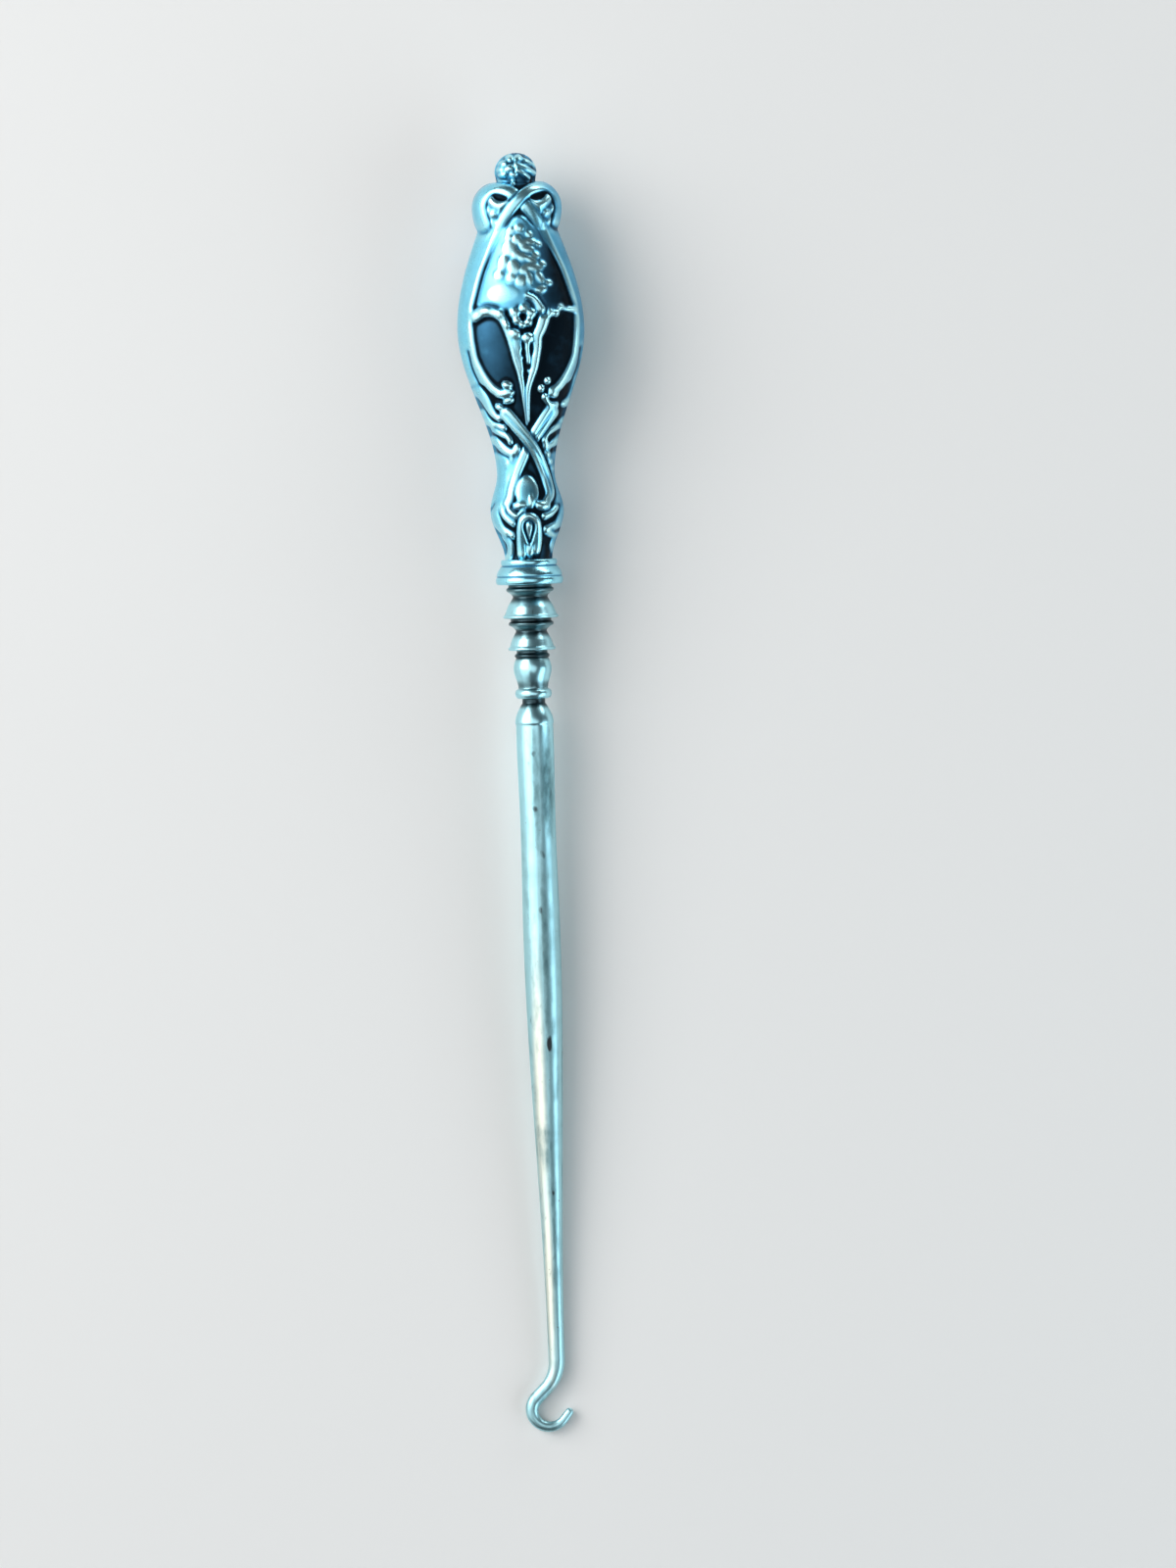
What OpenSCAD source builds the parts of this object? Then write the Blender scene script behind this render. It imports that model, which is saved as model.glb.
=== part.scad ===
// Button hook: a stamped two-piece silver handle, filled with pitch, on a forged steel shank and hook.
// Every piece is built upright about the tool's own axis: +Z to the finial, front face to -Y.
// The whole tool is then laid on its back, so that handle and hook both touch the table at z = 0.

/* [Handle widths] */
// Width at the belly, from seam to seam
belly_w = 19.4; // [17:0.2:23]
// Depth at the belly, from front to back
belly_d = 14.4; // [12.6:0.2:17]
// Width at the waist
waist_w = 8.8; // [8:0.2:11]
// Depth at the waist
waist_d = 8.2; // [7.8:0.2:10]
// Width of the bulge above the ferrule
foot_w = 11.2; // [9:0.2:13]
// Depth of the bulge above the ferrule
foot_d = 10.2; // [8.6:0.2:12]
// Width of the notch below the shoulder scrolls
throat_w = 12.2; // [10.6:0.2:14]
// Depth of the notch below the shoulder scrolls
throat_d = 9.6; // [8.4:0.2:11.4]
// Width across the shoulder scrolls
shoulder_w = 13.6; // [12:0.2:16]
// Depth across the shoulder scrolls
shoulder_d = 10.2; // [8.8:0.2:12]
// Diameter of the groove below the finial
finial_neck_d = 5.6; // [4.6:0.2:6.4]
// Diameter of the finial
finial_d = 6.4; // [5.6:0.2:8]
// Diameter of the open mouth that the ferrule covers
mouth_d = 7.2; // [6.8:0.1:7.8]

/* [Handle heights] */
// From the ferrule to the widest part of the foot
foot_rise = 7.4; // [5:0.2:10]
// From the foot to the waist
waist_rise = 5.7; // [4.5:0.1:8]
// From the waist to the belly
belly_rise = 22; // [17:0.5:28]
// From the belly to the throat
throat_rise = 15; // [12:0.5:20]
// From the throat to the shoulder scrolls
shoulder_rise = 3.6; // [2.6:0.2:5]
// From the shoulder scrolls to the groove below the finial
finial_neck_rise = 3.9; // [3:0.1:5.4]
// From that groove to the widest part of the finial
finial_rise = 1.4; // [1:0.1:2.2]
// From the widest part of the finial to its top
finial_dome = 3; // [2.2:0.1:4]

/* [Handle sheet and relief] */
// Thickness of the stamped sheet
sheet_t = 0.5; // [0.4:0.05:0.7]
// Thickness of the solder film between the two halves
solder_t = 0.1; // [0.06:0.02:0.2]
// Shrinkage gap between the sheet and the pitch
pitch_gap = 0.15; // [0.1:0.05:0.3]
// Width of the raised straps
strap_w = 1.5; // [1:0.1:2]
// Height of the raised straps above the sheet
strap_h = 0.5; // [0.3:0.05:0.8]
// Length of a rosette petal
petal_l = 1.5; // [1:0.1:2]
// Thickness of petals, leaves and beads above the sheet
leaf_h = 0.55; // [0.3:0.05:0.8]

/* [Ferrule] */
// Largest diameter of the ferrule
ferrule_d = 10.3; // [9.8:0.1:12]
// Height of the rounded band
ferrule_band_h = 1.6; // [1.2:0.1:2.4]
// Height of the bead below the band
ferrule_bead_h = 1.2; // [0.8:0.1:1.6]
// Diameter of the lip above the band
ferrule_lip_d = 8.6; // [8.4:0.1:9.4]
// Height of the lip
ferrule_lip_h = 1; // [0.7:0.1:1.6]
// Depth of the socket that takes the handle's mouth
socket_depth = 1.4; // [1:0.1:2]
// Play between the handle's mouth and the socket
socket_play = 0.05; // [0.02:0.01:0.15]

/* [Bolster] */
// Diameter of the fillet ring under the ferrule
neck_ring_d = 7.3; // [6.8:0.1:8]
// Diameter of the fillet ring under the upper flange
upper_ring_d = 6.9; // [6.4:0.1:7.4]
// Diameter of the fillet ring under the lower flange
lower_ring_d = 5.4; // [5:0.1:6]
// Height of each fillet ring
ring_h = 0.7; // [0.5:0.1:1]
// Undercut above each fillet ring
ring_gap = 0.5; // [0.3:0.1:0.8]
// Height of the cove below a fillet ring
cove_h = 0.8; // [0.6:0.1:1.2]
// Diameter of the neck above the upper flange
upper_neck_d = 5.3; // [4.8:0.1:6]
// Diameter of the neck above the lower flange
lower_neck_d = 4.7; // [4.2:0.1:5.6]
// Diameter of the upper flange
upper_flange_d = 8.5; // [7.8:0.1:9.4]
// Diameter of the lower flange
lower_flange_d = 7.3; // [6.6:0.1:8.4]
// Height of the bell above the upper flange
upper_bell_h = 2.7; // [2:0.1:3.6]
// Height of the bell above the lower flange
lower_bell_h = 2.4; // [1.8:0.1:3.2]
// Thickness at the rim of both flanges
flange_rim = 0.5; // [0.3:0.1:0.9]
// Diameter of the vase
vase_d = 5.8; // [5.2:0.1:6.4]
// Diameter of the foot of the vase
vase_foot_d = 4.5; // [3.8:0.1:4.8]
// Height of the vase
vase_h = 4.7; // [3.6:0.1:6]
// Diameter of the lowest disc
disc_d = 5.6; // [5:0.1:6.2]
// Height of the lowest disc
disc_h = 1.5; // [1:0.1:2]
// Diameter of the groove above the shank's cap
cap_groove_d = 3.5; // [3:0.1:4]
// Height of that groove
cap_groove_h = 0.8; // [0.5:0.1:1.2]
// Diameter of the domed cap at the head of the shank
cap_d = 5.9; // [5.7:0.1:6.6]
// Height of the domed cap
cap_h = 3; // [2.2:0.1:4.2]
// Diameter of the spigot that passes through the ferrule
spigot_d = 4.6; // [4:0.1:5]
// Play between the spigot and the ferrule's bore
spigot_play = 0.05; // [0.02:0.01:0.15]

/* [Tang] */
// Width of the square tang where it leaves the spigot
tang_w = 3; // [2.4:0.1:3.2]
// Width of the tang at its tip
tang_tip_w = 1.6; // [1:0.1:2.2]
// Length of the tang inside the handle
tang_len = 38; // [26:1:44]

/* [Shank] */
// Diameter at the head of the shank
shank_d = 5.7; // [5.2:0.1:6.6]
// Diameter at the slight waist of the straight part
shank_waist_d = 5.4; // [5:0.1:6.4]
// Diameter where the taper begins
shank_mid_d = 5.7; // [5:0.1:6.4]
// Length from the cap to the start of the taper
shank_straight = 33; // [24:1:45]
// Length of the taper
shank_taper = 64.8; // [48:0.2:80]

/* [Hook] */
// Diameter of the wire where the shank ends
wire_d = 2.5; // [2:0.1:3]
// Diameter of the wire at the start of the curl
curl_wire_d = 1.9; // [1.5:0.1:2.2]
// Diameter of the wire at the tip
tip_d = 1.1; // [0.8:0.1:1.4]
// Radius of the curl, to the middle of the wire
curl_r = 2.7; // [2.3:0.1:3.6]
// Distance of the middle of the curl from the shank's axis
curl_offset = 1.1; // [0.6:0.1:1.8]
// Angle by which the wire leaves the shank's axis
bend_angle = 42; // [34:1:50]
// Radius of that bend, to the middle of the wire
bend_r = 6; // [4:0.5:7]
// Angle past level at which the tip ends
tip_rise = 4; // [-20:1:20]

/* [Hidden] */

silver = "#c4dbe4";
solder_grey = "#9fb0b8";
pitch_black = "#2b221c";
steel = "#b9c6c8";

// Heights along the axis, from the joint between bolster and ferrule at z = 0
ferrule_h = ferrule_bead_h + ferrule_band_h + ferrule_lip_h;
z_mouth = ferrule_h - socket_depth;
z_foot = ferrule_h + foot_rise;
z_waist = z_foot + waist_rise;
z_belly = z_waist + belly_rise;
z_throat = z_belly + throat_rise;
z_shoulder = z_throat + shoulder_rise;
z_finial_neck = z_shoulder + finial_neck_rise;
z_finial = z_finial_neck + finial_rise;
z_top = z_finial + finial_dome;

// The handle's outline: [height, half width, half depth] at each level
LEVELS = [
    [z_mouth, mouth_d / 2, mouth_d / 2],
    [ferrule_h, mouth_d / 2, mouth_d / 2],
    [z_foot, foot_w / 2, foot_d / 2],
    [z_waist, waist_w / 2, waist_d / 2],
    [z_belly, belly_w / 2, belly_d / 2],
    [z_throat, throat_w / 2, throat_d / 2],
    [z_shoulder, shoulder_w / 2, shoulder_d / 2],
    [z_finial_neck, finial_neck_d / 2, finial_neck_d / 2],
    [z_finial, finial_d / 2, finial_d / 2],
    [z_top, 0, 0]
];
// How the outline runs from each level to the next, and in how many steps
RUNS = [["line", 1], ["ogee", 5], ["ogee", 4], ["ogee", 10], ["fall", 8], ["rise", 3], ["round", 5],
        ["ogee", 1], ["round", 4]];
// Number of columns round each half of the handle
COLUMNS = 14;
// The hollow ends in a point this far below the groove under the finial
hollow_margin = 1.2;

function mix(a, b, t) = a + (b - a) * t;
function unit(v) = v / norm(v);

// Share of a run covered at t, for each kind of curve
function eased(kind, t) =
    kind == "ogee" ? t * t * (3 - 2 * t) :
    kind == "fall" ? 1 - cos(90 * t) :
    kind == "rise" ? sin(90 * t) :
    kind == "round" ? 1 - sqrt(max(0, 1 - t * t)) : t;

// Outline at a level number with a fraction, such as 4.5 for half way from belly to throat
function outline(level) =
    let(i = min(floor(level), len(RUNS) - 1), t = level - i, a = LEVELS[i], b = LEVELS[i + 1],
        s = eased(RUNS[i][0], t))
    [mix(a[0], b[0], t), mix(a[1], b[1], s), mix(a[2], b[2], s)];

// Point on the handle: angle from the middle of the front, level, height above the sheet
function on_handle(angle, level, lift = 0) =
    let(o = outline(level)) [(o[1] + lift) * sin(angle), -(o[2] + lift) * cos(angle), o[0]];
function outward(angle, level) =
    let(o = outline(level)) unit([sin(angle) / max(o[1], 0.1), -cos(angle) / max(o[2], 0.1), 0]);

STATIONS = [for (i = [0 : len(RUNS) - 1]) for (k = [0 : RUNS[i][1] - 1]) outline(i + k / RUNS[i][1])];

// Height of the hollow's top, and the outline of a hollow that lies a given depth under the surface
z_hollow = z_finial_neck - hollow_margin;
function sunk(o, depth) = [o[0], max(o[1] - depth, 0), max(o[2] - depth, 0)];
function hollow_stations(depth) =
    concat([for (o = STATIONS) if (o[0] < z_hollow - depth - 0.3) sunk(o, depth)],
           [[z_hollow - depth, 0, 0]]);

function ring(o, from, to, n) =
    [for (j = [0 : n]) let(a = mix(from, to, j / n)) [o[1] * sin(a), -o[2] * cos(a), o[0]]];

// Triangles between two rows of points that start at index a and b, with n steps
function band(a, b, n) = [for (j = [0 : n - 1]) each [[a + j, a + j + 1, b + j + 1], [a + j, b + j + 1, b + j]]];

// Half of the handle's sheet, front side, with the hollow behind it and its edges flat on y = 0
module half_sheet() {
    inner = hollow_stations(sheet_t);
    no = len(STATIONS);
    ni = len(inner) - 1;
    row = COLUMNS + 1;
    points = concat(
        [for (o = STATIONS) each ring(o, -90, 90, COLUMNS)],
        [for (i = [0 : ni - 1]) each ring(inner[i], -90, 90, COLUMNS)],
        [[0, 0, inner[ni][0]], [0, 0, z_top]]
    );
    in0 = no * row;
    tip = in0 + ni * row;
    top = tip + 1;
    edge_in = function (i, side) i < ni ? in0 + i * row + side * COLUMNS : tip;
    faces = concat(
        [for (i = [0 : no - 2]) each [for (f = band(i * row, (i + 1) * row, COLUMNS)) [f[2], f[1], f[0]]]],
        [for (j = [0 : COLUMNS - 1]) [top, (no - 1) * row + j + 1, (no - 1) * row + j]],
        [for (i = [0 : ni - 2]) each band(in0 + i * row, in0 + (i + 1) * row, COLUMNS)],
        [for (j = [0 : COLUMNS - 1]) [in0 + (ni - 1) * row + j, in0 + (ni - 1) * row + j + 1, tip]],
        band(0, in0, COLUMNS),
        [for (i = [0 : ni - 1]) each [
            [i * row, edge_in(i, 0), edge_in(i + 1, 0)], [i * row, edge_in(i + 1, 0), (i + 1) * row],
            [i * row + COLUMNS, edge_in(i + 1, 1), edge_in(i, 1)],
            [i * row + COLUMNS, (i + 1) * row + COLUMNS, edge_in(i + 1, 1)]]],
        [for (i = [ni : no - 2]) each [
            [i * row, tip, (i + 1) * row], [i * row + COLUMNS, (i + 1) * row + COLUMNS, tip]]],
        [[(no - 1) * row, tip, top], [(no - 1) * row + COLUMNS, top, tip]]
    );
    polyhedron(points, faces);
}

// Smooth line through hand-placed points [angle, level]
function spline_point(p, i, t) =
    let(n = len(p) - 1, a = p[max(i - 1, 0)], b = p[i], c = p[min(i + 1, n)], d = p[min(i + 2, n)])
    0.5 * (2 * b + (c - a) * t + (2 * a - 5 * b + 4 * c - d) * t * t + (3 * b - a - 3 * c + d) * t * t * t);
function spline(p, steps) =
    concat([for (i = [0 : len(p) - 2]) for (k = [0 : steps - 1]) spline_point(p, i, k / steps)],
           [p[len(p) - 1]]);

// Closed skin over a list of rings with the same number of points
module skin(rings) {
    n = len(rings[0]);
    last = len(rings) - 1;
    sides = [for (i = [0 : last - 1]) for (j = [0 : n - 1])
        let(a = i * n + j, b = i * n + (j + 1) % n) each [[a, b, b + n], [a, b + n, a + n]]];
    ends = concat([for (j = [1 : n - 2]) [0, j + 1, j]],
                  [for (j = [1 : n - 2]) [last * n, last * n + j, last * n + j + 1]]);
    polyhedron([for (r = rings) each r], concat(sides, ends));
}

// Steps between the hand-placed points of a strap, and sides of its bevelled section
STRAP_STEPS = 2;
STRAP_SIDES = 3;
// Depth to which straps and leaves root in the sheet
root = sheet_t / 2;

// Raised bevelled strap along hand-placed points [angle, level] on the handle
module strap(path, width = strap_w, height = strap_h) {
    way = spline(path, STRAP_STEPS);
    spots = [for (w = way) on_handle(w[0], w[1])];
    last = len(way) - 1;
    skin([for (i = [0 : last])
        let(up = outward(way[i][0], way[i][1]),
            along = unit(spots[min(i + 1, last)] - spots[max(i - 1, 0)]),
            across = unit(cross(along, up)))
        [for (k = [0 : STRAP_SIDES])
            let(a = 180 * k / STRAP_SIDES)
            spots[i] + across * cos(a) * width / 2 + up * (sin(a) * (height + root) - root)]]);
}

// Flattened drop between two places [angle, level] on the handle, for petals, leaves and beads
module drop(from, to, width, tip_share = 0.6) {
    hull() {
        flat_bead(from, width);
        flat_bead(to, width * tip_share);
    }
}
module flat_bead(at, width) {
    up = outward(at[0], at[1]);
    translate(on_handle(at[0], at[1]))
        rotate([0, 0, atan2(up[1], up[0])])
            scale([leaf_h * 2 / width, 1, 1])
                sphere(d = width, $fn = 6);
}

// Angle that a distance across the front covers at a level
function turn(distance, level) = asin(max(-1, min(1, distance / outline(level)[1])));
// Level number that a distance along the axis covers at a level
function climb(distance, level) = let(i = floor(level)) distance / (LEVELS[i + 1][0] - LEVELS[i][0]);

// Rosette in the middle of the front, just above the belly
rosette_level = 4.12;
rosette_petals = 6;
// Hand-placed points [angle, level] of the ornament on the right half; the left half mirrors them
FRAME = [[0, 5.5], [24, 5.2], [38, 4.92], [48, 4.66], [54, 4.34], [56, 4.08], [56, 3.94], [54, 3.78], [46, 3.64],
         [30, 3.57]];
CURL = [[0, 5.5], [-22, 6.12], [-44, 6.3], [-66, 6.06], [-76, 5.6], [-60, 5.3], [-40, 5.62]];
ARM = [[52, 4.14], [36, 4.18], [23, 4.12], [15, 3.98], [9, 3.84], [4, 3.68], [1, 3.52], [0, 3.42]];
BRAID = [[-36, 3.42], [-18, 3.29], [0, 3.18], [26, 3.04], [36, 2.7], [34, 2.4], [16, 2.24]];
LEAVES = [[[52, 3.42], [76, 3.5], 1.7], [[42, 3.2], [74, 3.27], 1.6], [[34, 2.05], [64, 1.96], 1.8]];
BEADS = [[29, 3.57, 1.7], [40, 5.62, 1.6]];
SPRAY = [[2, 4.28], [-2, 4.8], 2.6];
SHIELD = [[0, 2.36], [0, 2.78], 2.6];
DROP_PANEL = [[0, 1.46], [0, 1.86], 2.6];

module mirrored() {
    children();
    mirror([1, 0, 0]) children();
}

module ornament() {
    mirrored() {
        strap(FRAME);
        strap(CURL);
        strap(ARM, strap_w * 0.8);
        strap(BRAID);
        for (l = LEAVES) drop(l[0], l[1], l[2]);
        for (b = BEADS) flat_bead(b, b[2]);
    }
    drop(SPRAY[0], SPRAY[1], SPRAY[2]);
    for (k = [0 : rosette_petals - 1])
        let(a = 360 * k / rosette_petals, w = petal_l * 0.75,
            at = [turn(petal_l * 0.72 * sin(a), rosette_level),
                  rosette_level + climb(petal_l * 0.72 * cos(a), rosette_level)])
            flat_bead(at, w);
    drop(SHIELD[0], SHIELD[1], SHIELD[2], 0.7);
    drop(DROP_PANEL[0], DROP_PANEL[1], DROP_PANEL[2], 0.8);
}

// Front half-space, cut back by half of the solder film
module front_only() {
    reach = z_top + belly_w;
    translate([-reach, -2 * reach - solder_t / 2, -reach]) cube(2 * reach);
}

module stamping() {
    color(silver)
        intersection() {
            union() {
                half_sheet();
                ornament();
            }
            front_only();
        }
}

// Half outline of the handle in two dimensions, on the right (side = 1) or the left (side = -1)
function side_points(stations, side) = [for (o = stations) [side * o[1], o[0]]];
function reversed(p) = [for (i = [len(p) - 1 : -1 : 0]) p[i]];

module handle_front_shell() laid() stamping();
module handle_back_shell() laid() rotate([0, 0, 180]) stamping();

// Film of hard solder between the edges of the two halves
module seam_solder() {
    inner = hollow_stations(sheet_t);
    open_inner = [for (o = inner) if (o[1] > 0) o];
    edge = concat(
        side_points(STATIONS, 1), [[0, z_top]], reversed(side_points(STATIONS, -1)),
        side_points(open_inner, -1), reversed(side_points(inner, 1))
    );
    laid()
        color(solder_grey)
            rotate([90, 0, 0])
                linear_extrude(solder_t, center = true)
                    polygon(edge);
}

// Pitch core that holds the tang, from the mouth to the top of the hollow
module handle_filler() {
    stations = hollow_stations(sheet_t + pitch_gap);
    last = len(stations) - 1;
    n = COLUMNS;
    around = [for (i = [0 : last - 1]) [for (j = [0 : n - 1])
        let(a = 360 * j / n) [stations[i][1] * sin(a), -stations[i][2] * cos(a), stations[i][0]]]];
    points = concat([for (r = around) each r], [[0, 0, stations[0][0]], [0, 0, stations[last][0]]]);
    foot = last * n;
    faces = concat(
        [for (i = [0 : last - 2]) for (j = [0 : n - 1])
            let(a = i * n + j, b = i * n + (j + 1) % n) each [[a, b + n, b], [a, a + n, b + n]]],
        [for (j = [0 : n - 1]) [foot, j, (j + 1) % n]],
        [for (j = [0 : n - 1]) [foot + 1, (last - 1) * n + (j + 1) % n, (last - 1) * n + j]]
    );
    laid()
        color(pitch_black)
            difference() {
                polyhedron(points, faces);
                tang();
            }
}

// Points along a curved run of a turned profile, as [radius, height]
TURN_STEPS = 8;
function run(from, to, kind, steps = TURN_STEPS) =
    [for (i = [0 : steps]) let(t = i / steps) [mix(from[0], to[0], eased(kind, t)), mix(from[1], to[1], t)]];
// Half-round moulding of a given height below z, from radius r out to radius r + depth
function bead_run(r, depth, z, height, steps = TURN_STEPS) =
    [for (i = [0 : steps]) let(a = 180 * i / steps) [r + depth * sin(a), z - height * (1 - cos(a)) / 2]];
function no_repeats(p) = [for (i = [0 : len(p) - 1]) if (i == 0 || norm(p[i] - p[i - 1]) > 0.001) p[i]];

// Silver ring that binds the mouth of the handle and seats the bolster
lip_round = 0.25;
bead_round = 0.3;
module mouth_ferrule() {
    r = ferrule_d / 2;
    lip_r = ferrule_lip_d / 2;
    band_top = ferrule_bead_h + ferrule_band_h;
    bore = spigot_d / 2 + spigot_play;
    socket = mouth_d / 2 + socket_play;
    profile = no_repeats(concat(
        [[bore, 0], [bore, z_mouth], [socket, z_mouth], [socket, ferrule_h]],
        bead_run(lip_r - lip_round, lip_round, ferrule_h, ferrule_lip_h, 6),
        run([lip_r, band_top - 0.1], [r - bead_round / 2, ferrule_bead_h + 0.1], "rise"),
        bead_run(r - bead_round, bead_round, ferrule_bead_h, ferrule_bead_h)
    ));
    laid() color(silver) rotate_extrude($fn = 96) polygon(profile);
}

// Heights down the turned bolster, from the ferrule at z = 0
ring_drop = ring_gap + ring_h;
z_upper_bell = -ring_drop - cove_h;
z_upper_rim = z_upper_bell - upper_bell_h;
z_upper_under = z_upper_rim - flange_rim;
z_lower_bell = z_upper_under - ring_drop - cove_h;
z_lower_rim = z_lower_bell - lower_bell_h;
z_lower_under = z_lower_rim - flange_rim;
z_vase = z_lower_under - ring_drop;
z_vase_foot = z_vase - vase_h;
z_disc = z_vase_foot - disc_h;
z_cap = z_disc - cap_groove_h;
z_shank = z_cap - cap_h;
z_taper = z_shank - shank_straight;
z_wire = z_taper - shank_taper;
// Where the bell turns from its dome to its flare, and where the vase is widest
bell_share = 0.45;
vase_belly_share = 0.35;

// Undercut and fillet ring below z
function fillet_ring(d, z) =
    let(r = d / 2 - ring_h / 2) concat([[r, z]], bead_run(r, ring_h / 2, z - ring_gap, ring_h, 6));
// Cove and bell from a fillet ring down to the underside of a flange
function bell(ring_d, neck_d, rim_d, z, height) =
    let(neck = neck_d / 2, rim = rim_d / 2, bend = [mix(neck, rim, bell_share), z - height * bell_share])
    concat(
        run([ring_d / 2 - ring_h / 2, z + cove_h], [neck, z], "rise", 4),
        run([neck, z], bend, "rise", 6),
        run(bend, [rim, z - height], "fall", 6),
        [[rim, z - height - flange_rim]]
    );

function turned_profile() =
    let(groove_r = cap_groove_d / 2, vase_r = vase_d / 2, z_waist_of_shank = (z_shank + z_taper) / 2)
    no_repeats(concat(
        [[0, z_mouth], [spigot_d / 2, z_mouth], [spigot_d / 2, 0]],
        fillet_ring(neck_ring_d, 0),
        bell(neck_ring_d, upper_neck_d, upper_flange_d, z_upper_bell, upper_bell_h),
        fillet_ring(upper_ring_d, z_upper_under),
        bell(upper_ring_d, lower_neck_d, lower_flange_d, z_lower_bell, lower_bell_h),
        fillet_ring(lower_ring_d, z_lower_under),
        run([vase_r * 0.86, z_vase], [vase_r, z_vase - vase_h * vase_belly_share], "rise", 5),
        run([vase_r, z_vase - vase_h * vase_belly_share], [vase_foot_d / 2, z_vase_foot], "ogee"),
        bead_run(vase_foot_d / 2, (disc_d - vase_foot_d) / 2, z_vase_foot, disc_h),
        run([groove_r, z_disc], [groove_r, z_cap], "line", 2),
        run([groove_r + 0.1, z_cap], [cap_d / 2, z_shank], "rise"),
        run([shank_d / 2, z_shank], [shank_waist_d / 2, z_waist_of_shank], "ogee", 6),
        run([shank_waist_d / 2, z_waist_of_shank], [shank_mid_d / 2, z_taper], "ogee", 6),
        run([shank_mid_d / 2, z_taper], [wire_d / 2, z_wire], "ogee", 18),
        [[0, z_wire]]
    ));

// Square tapered tang that the pitch grips
module tang() {
    translate([0, 0, z_mouth])
        linear_extrude(tang_len, scale = tang_tip_w / tang_w)
            square(tang_w, center = true);
}

// Centreline of the hook, from the end of the shank to the tip, as [x, z, wire radius]
bend_tangent = bend_r * tan(bend_angle / 2);
// Length of the sloping run from the shank's axis to the curl
slope_run = (curl_offset + curl_r * cos(bend_angle)) / sin(bend_angle);
z_curl = z_wire - bend_tangent - slope_run * cos(bend_angle) - curl_r * sin(bend_angle);
curl_start = 180 - bend_angle;
curl_sweep = 360 + tip_rise - curl_start;
HOOK_SIDES = 16;
BEND_STEPS = 8;
CURL_STEPS = 30;

function hook_line() =
    let(bend = [for (i = [0 : BEND_STEPS])
            let(a = bend_angle * i / BEND_STEPS, t = i / BEND_STEPS)
            [-bend_r * (1 - cos(a)), z_wire - bend_r * sin(a), mix(wire_d, curl_wire_d, t) / 2]],
        curl = [for (i = [0 : CURL_STEPS])
            let(t = i / CURL_STEPS, a = curl_start + curl_sweep * t)
            [-curl_offset + curl_r * cos(a), z_curl + curl_r * sin(a), mix(curl_wire_d, tip_d, t) / 2]])
    concat(bend, curl);

// Rounded end of the wire, as extra rings past the last point of the line
TIP_RINGS = 4;
function with_tip(line) =
    let(n = len(line) - 1, end = line[n], r = end[2],
        way = unit([line[n][0] - line[n - 1][0], line[n][1] - line[n - 1][1]]))
    concat(line, [for (k = [1 : TIP_RINGS]) let(a = 84 * k / TIP_RINGS)
        [end[0] + way[0] * r * sin(a), end[1] + way[1] * r * sin(a), r * cos(a)]]);

// Curled end of the steel, split from the shank so that its eye stays open to what it catches
module hook_end() {
    line = with_tip(hook_line());
    last = len(line) - 1;
    rings = [for (i = [0 : last])
        let(a = line[max(i - 1, 0)], b = line[min(i + 1, last)],
            way = i == 0 ? [0, 0, -1] : unit([b[0] - a[0], 0, b[1] - a[1]]),
            side = [-way[2], 0, way[0]])
        [for (k = [0 : HOOK_SIDES - 1])
            let(t = 360 * k / HOOK_SIDES)
            [line[i][0], 0, line[i][1]] + line[i][2] * (side * cos(t) + [0, 1, 0] * sin(t))]];
    laid() color(steel) skin(rings);
}

// Steel forging down to the end of the shank: tang, spigot, bolster and shank
module steel_shank() {
    laid()
        color(steel)
            union() {
                rotate_extrude($fn = 96) polygon(turned_profile());
                tang();
            }
}

// Lay of the tool on the table: the rosette on the back and the bottom of the curl touch z = 0
curl_bottom_r = mix(curl_wire_d, tip_d, (270 - curl_start) / curl_sweep) / 2;
z_curl_bottom = z_curl - curl_r;
rest_depth = belly_d / 2 + leaf_h;
lay_angle = atan((rest_depth - curl_bottom_r) / (outline(rosette_level)[0] - z_curl_bottom));
lift = curl_bottom_r * cos(lay_angle) - z_curl_bottom * sin(lay_angle);
middle = (z_top + z_curl_bottom - curl_bottom_r) / 2;

module laid() {
    translate([0, -middle * cos(lay_angle), lift])
        rotate([lay_angle - 90, 0, 0])
            children();
}

handle_front_shell();
handle_back_shell();
seam_solder();
handle_filler();
mouth_ferrule();
steel_shank();
hook_end();
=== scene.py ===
import math

import bpy
import numpy as np
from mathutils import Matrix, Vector


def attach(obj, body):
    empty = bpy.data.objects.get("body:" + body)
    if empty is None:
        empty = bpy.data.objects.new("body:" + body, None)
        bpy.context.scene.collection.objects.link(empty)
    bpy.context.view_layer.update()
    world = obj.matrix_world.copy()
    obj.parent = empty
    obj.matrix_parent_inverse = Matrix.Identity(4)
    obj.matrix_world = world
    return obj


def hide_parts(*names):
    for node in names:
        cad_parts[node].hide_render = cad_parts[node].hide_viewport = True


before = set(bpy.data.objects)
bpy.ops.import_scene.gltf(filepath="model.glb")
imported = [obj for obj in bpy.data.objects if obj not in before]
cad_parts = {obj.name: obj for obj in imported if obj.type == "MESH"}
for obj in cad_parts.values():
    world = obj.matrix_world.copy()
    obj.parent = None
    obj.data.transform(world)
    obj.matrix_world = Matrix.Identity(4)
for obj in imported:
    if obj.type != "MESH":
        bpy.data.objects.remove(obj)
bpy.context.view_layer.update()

# Sizes are in millimetres about the tool's own axis, with z = 0 where the bolster meets the ferrule,
# +z towards the finial and the front face towards -y. laid() takes them to the frame, in metres.
MM = 0.001

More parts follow.
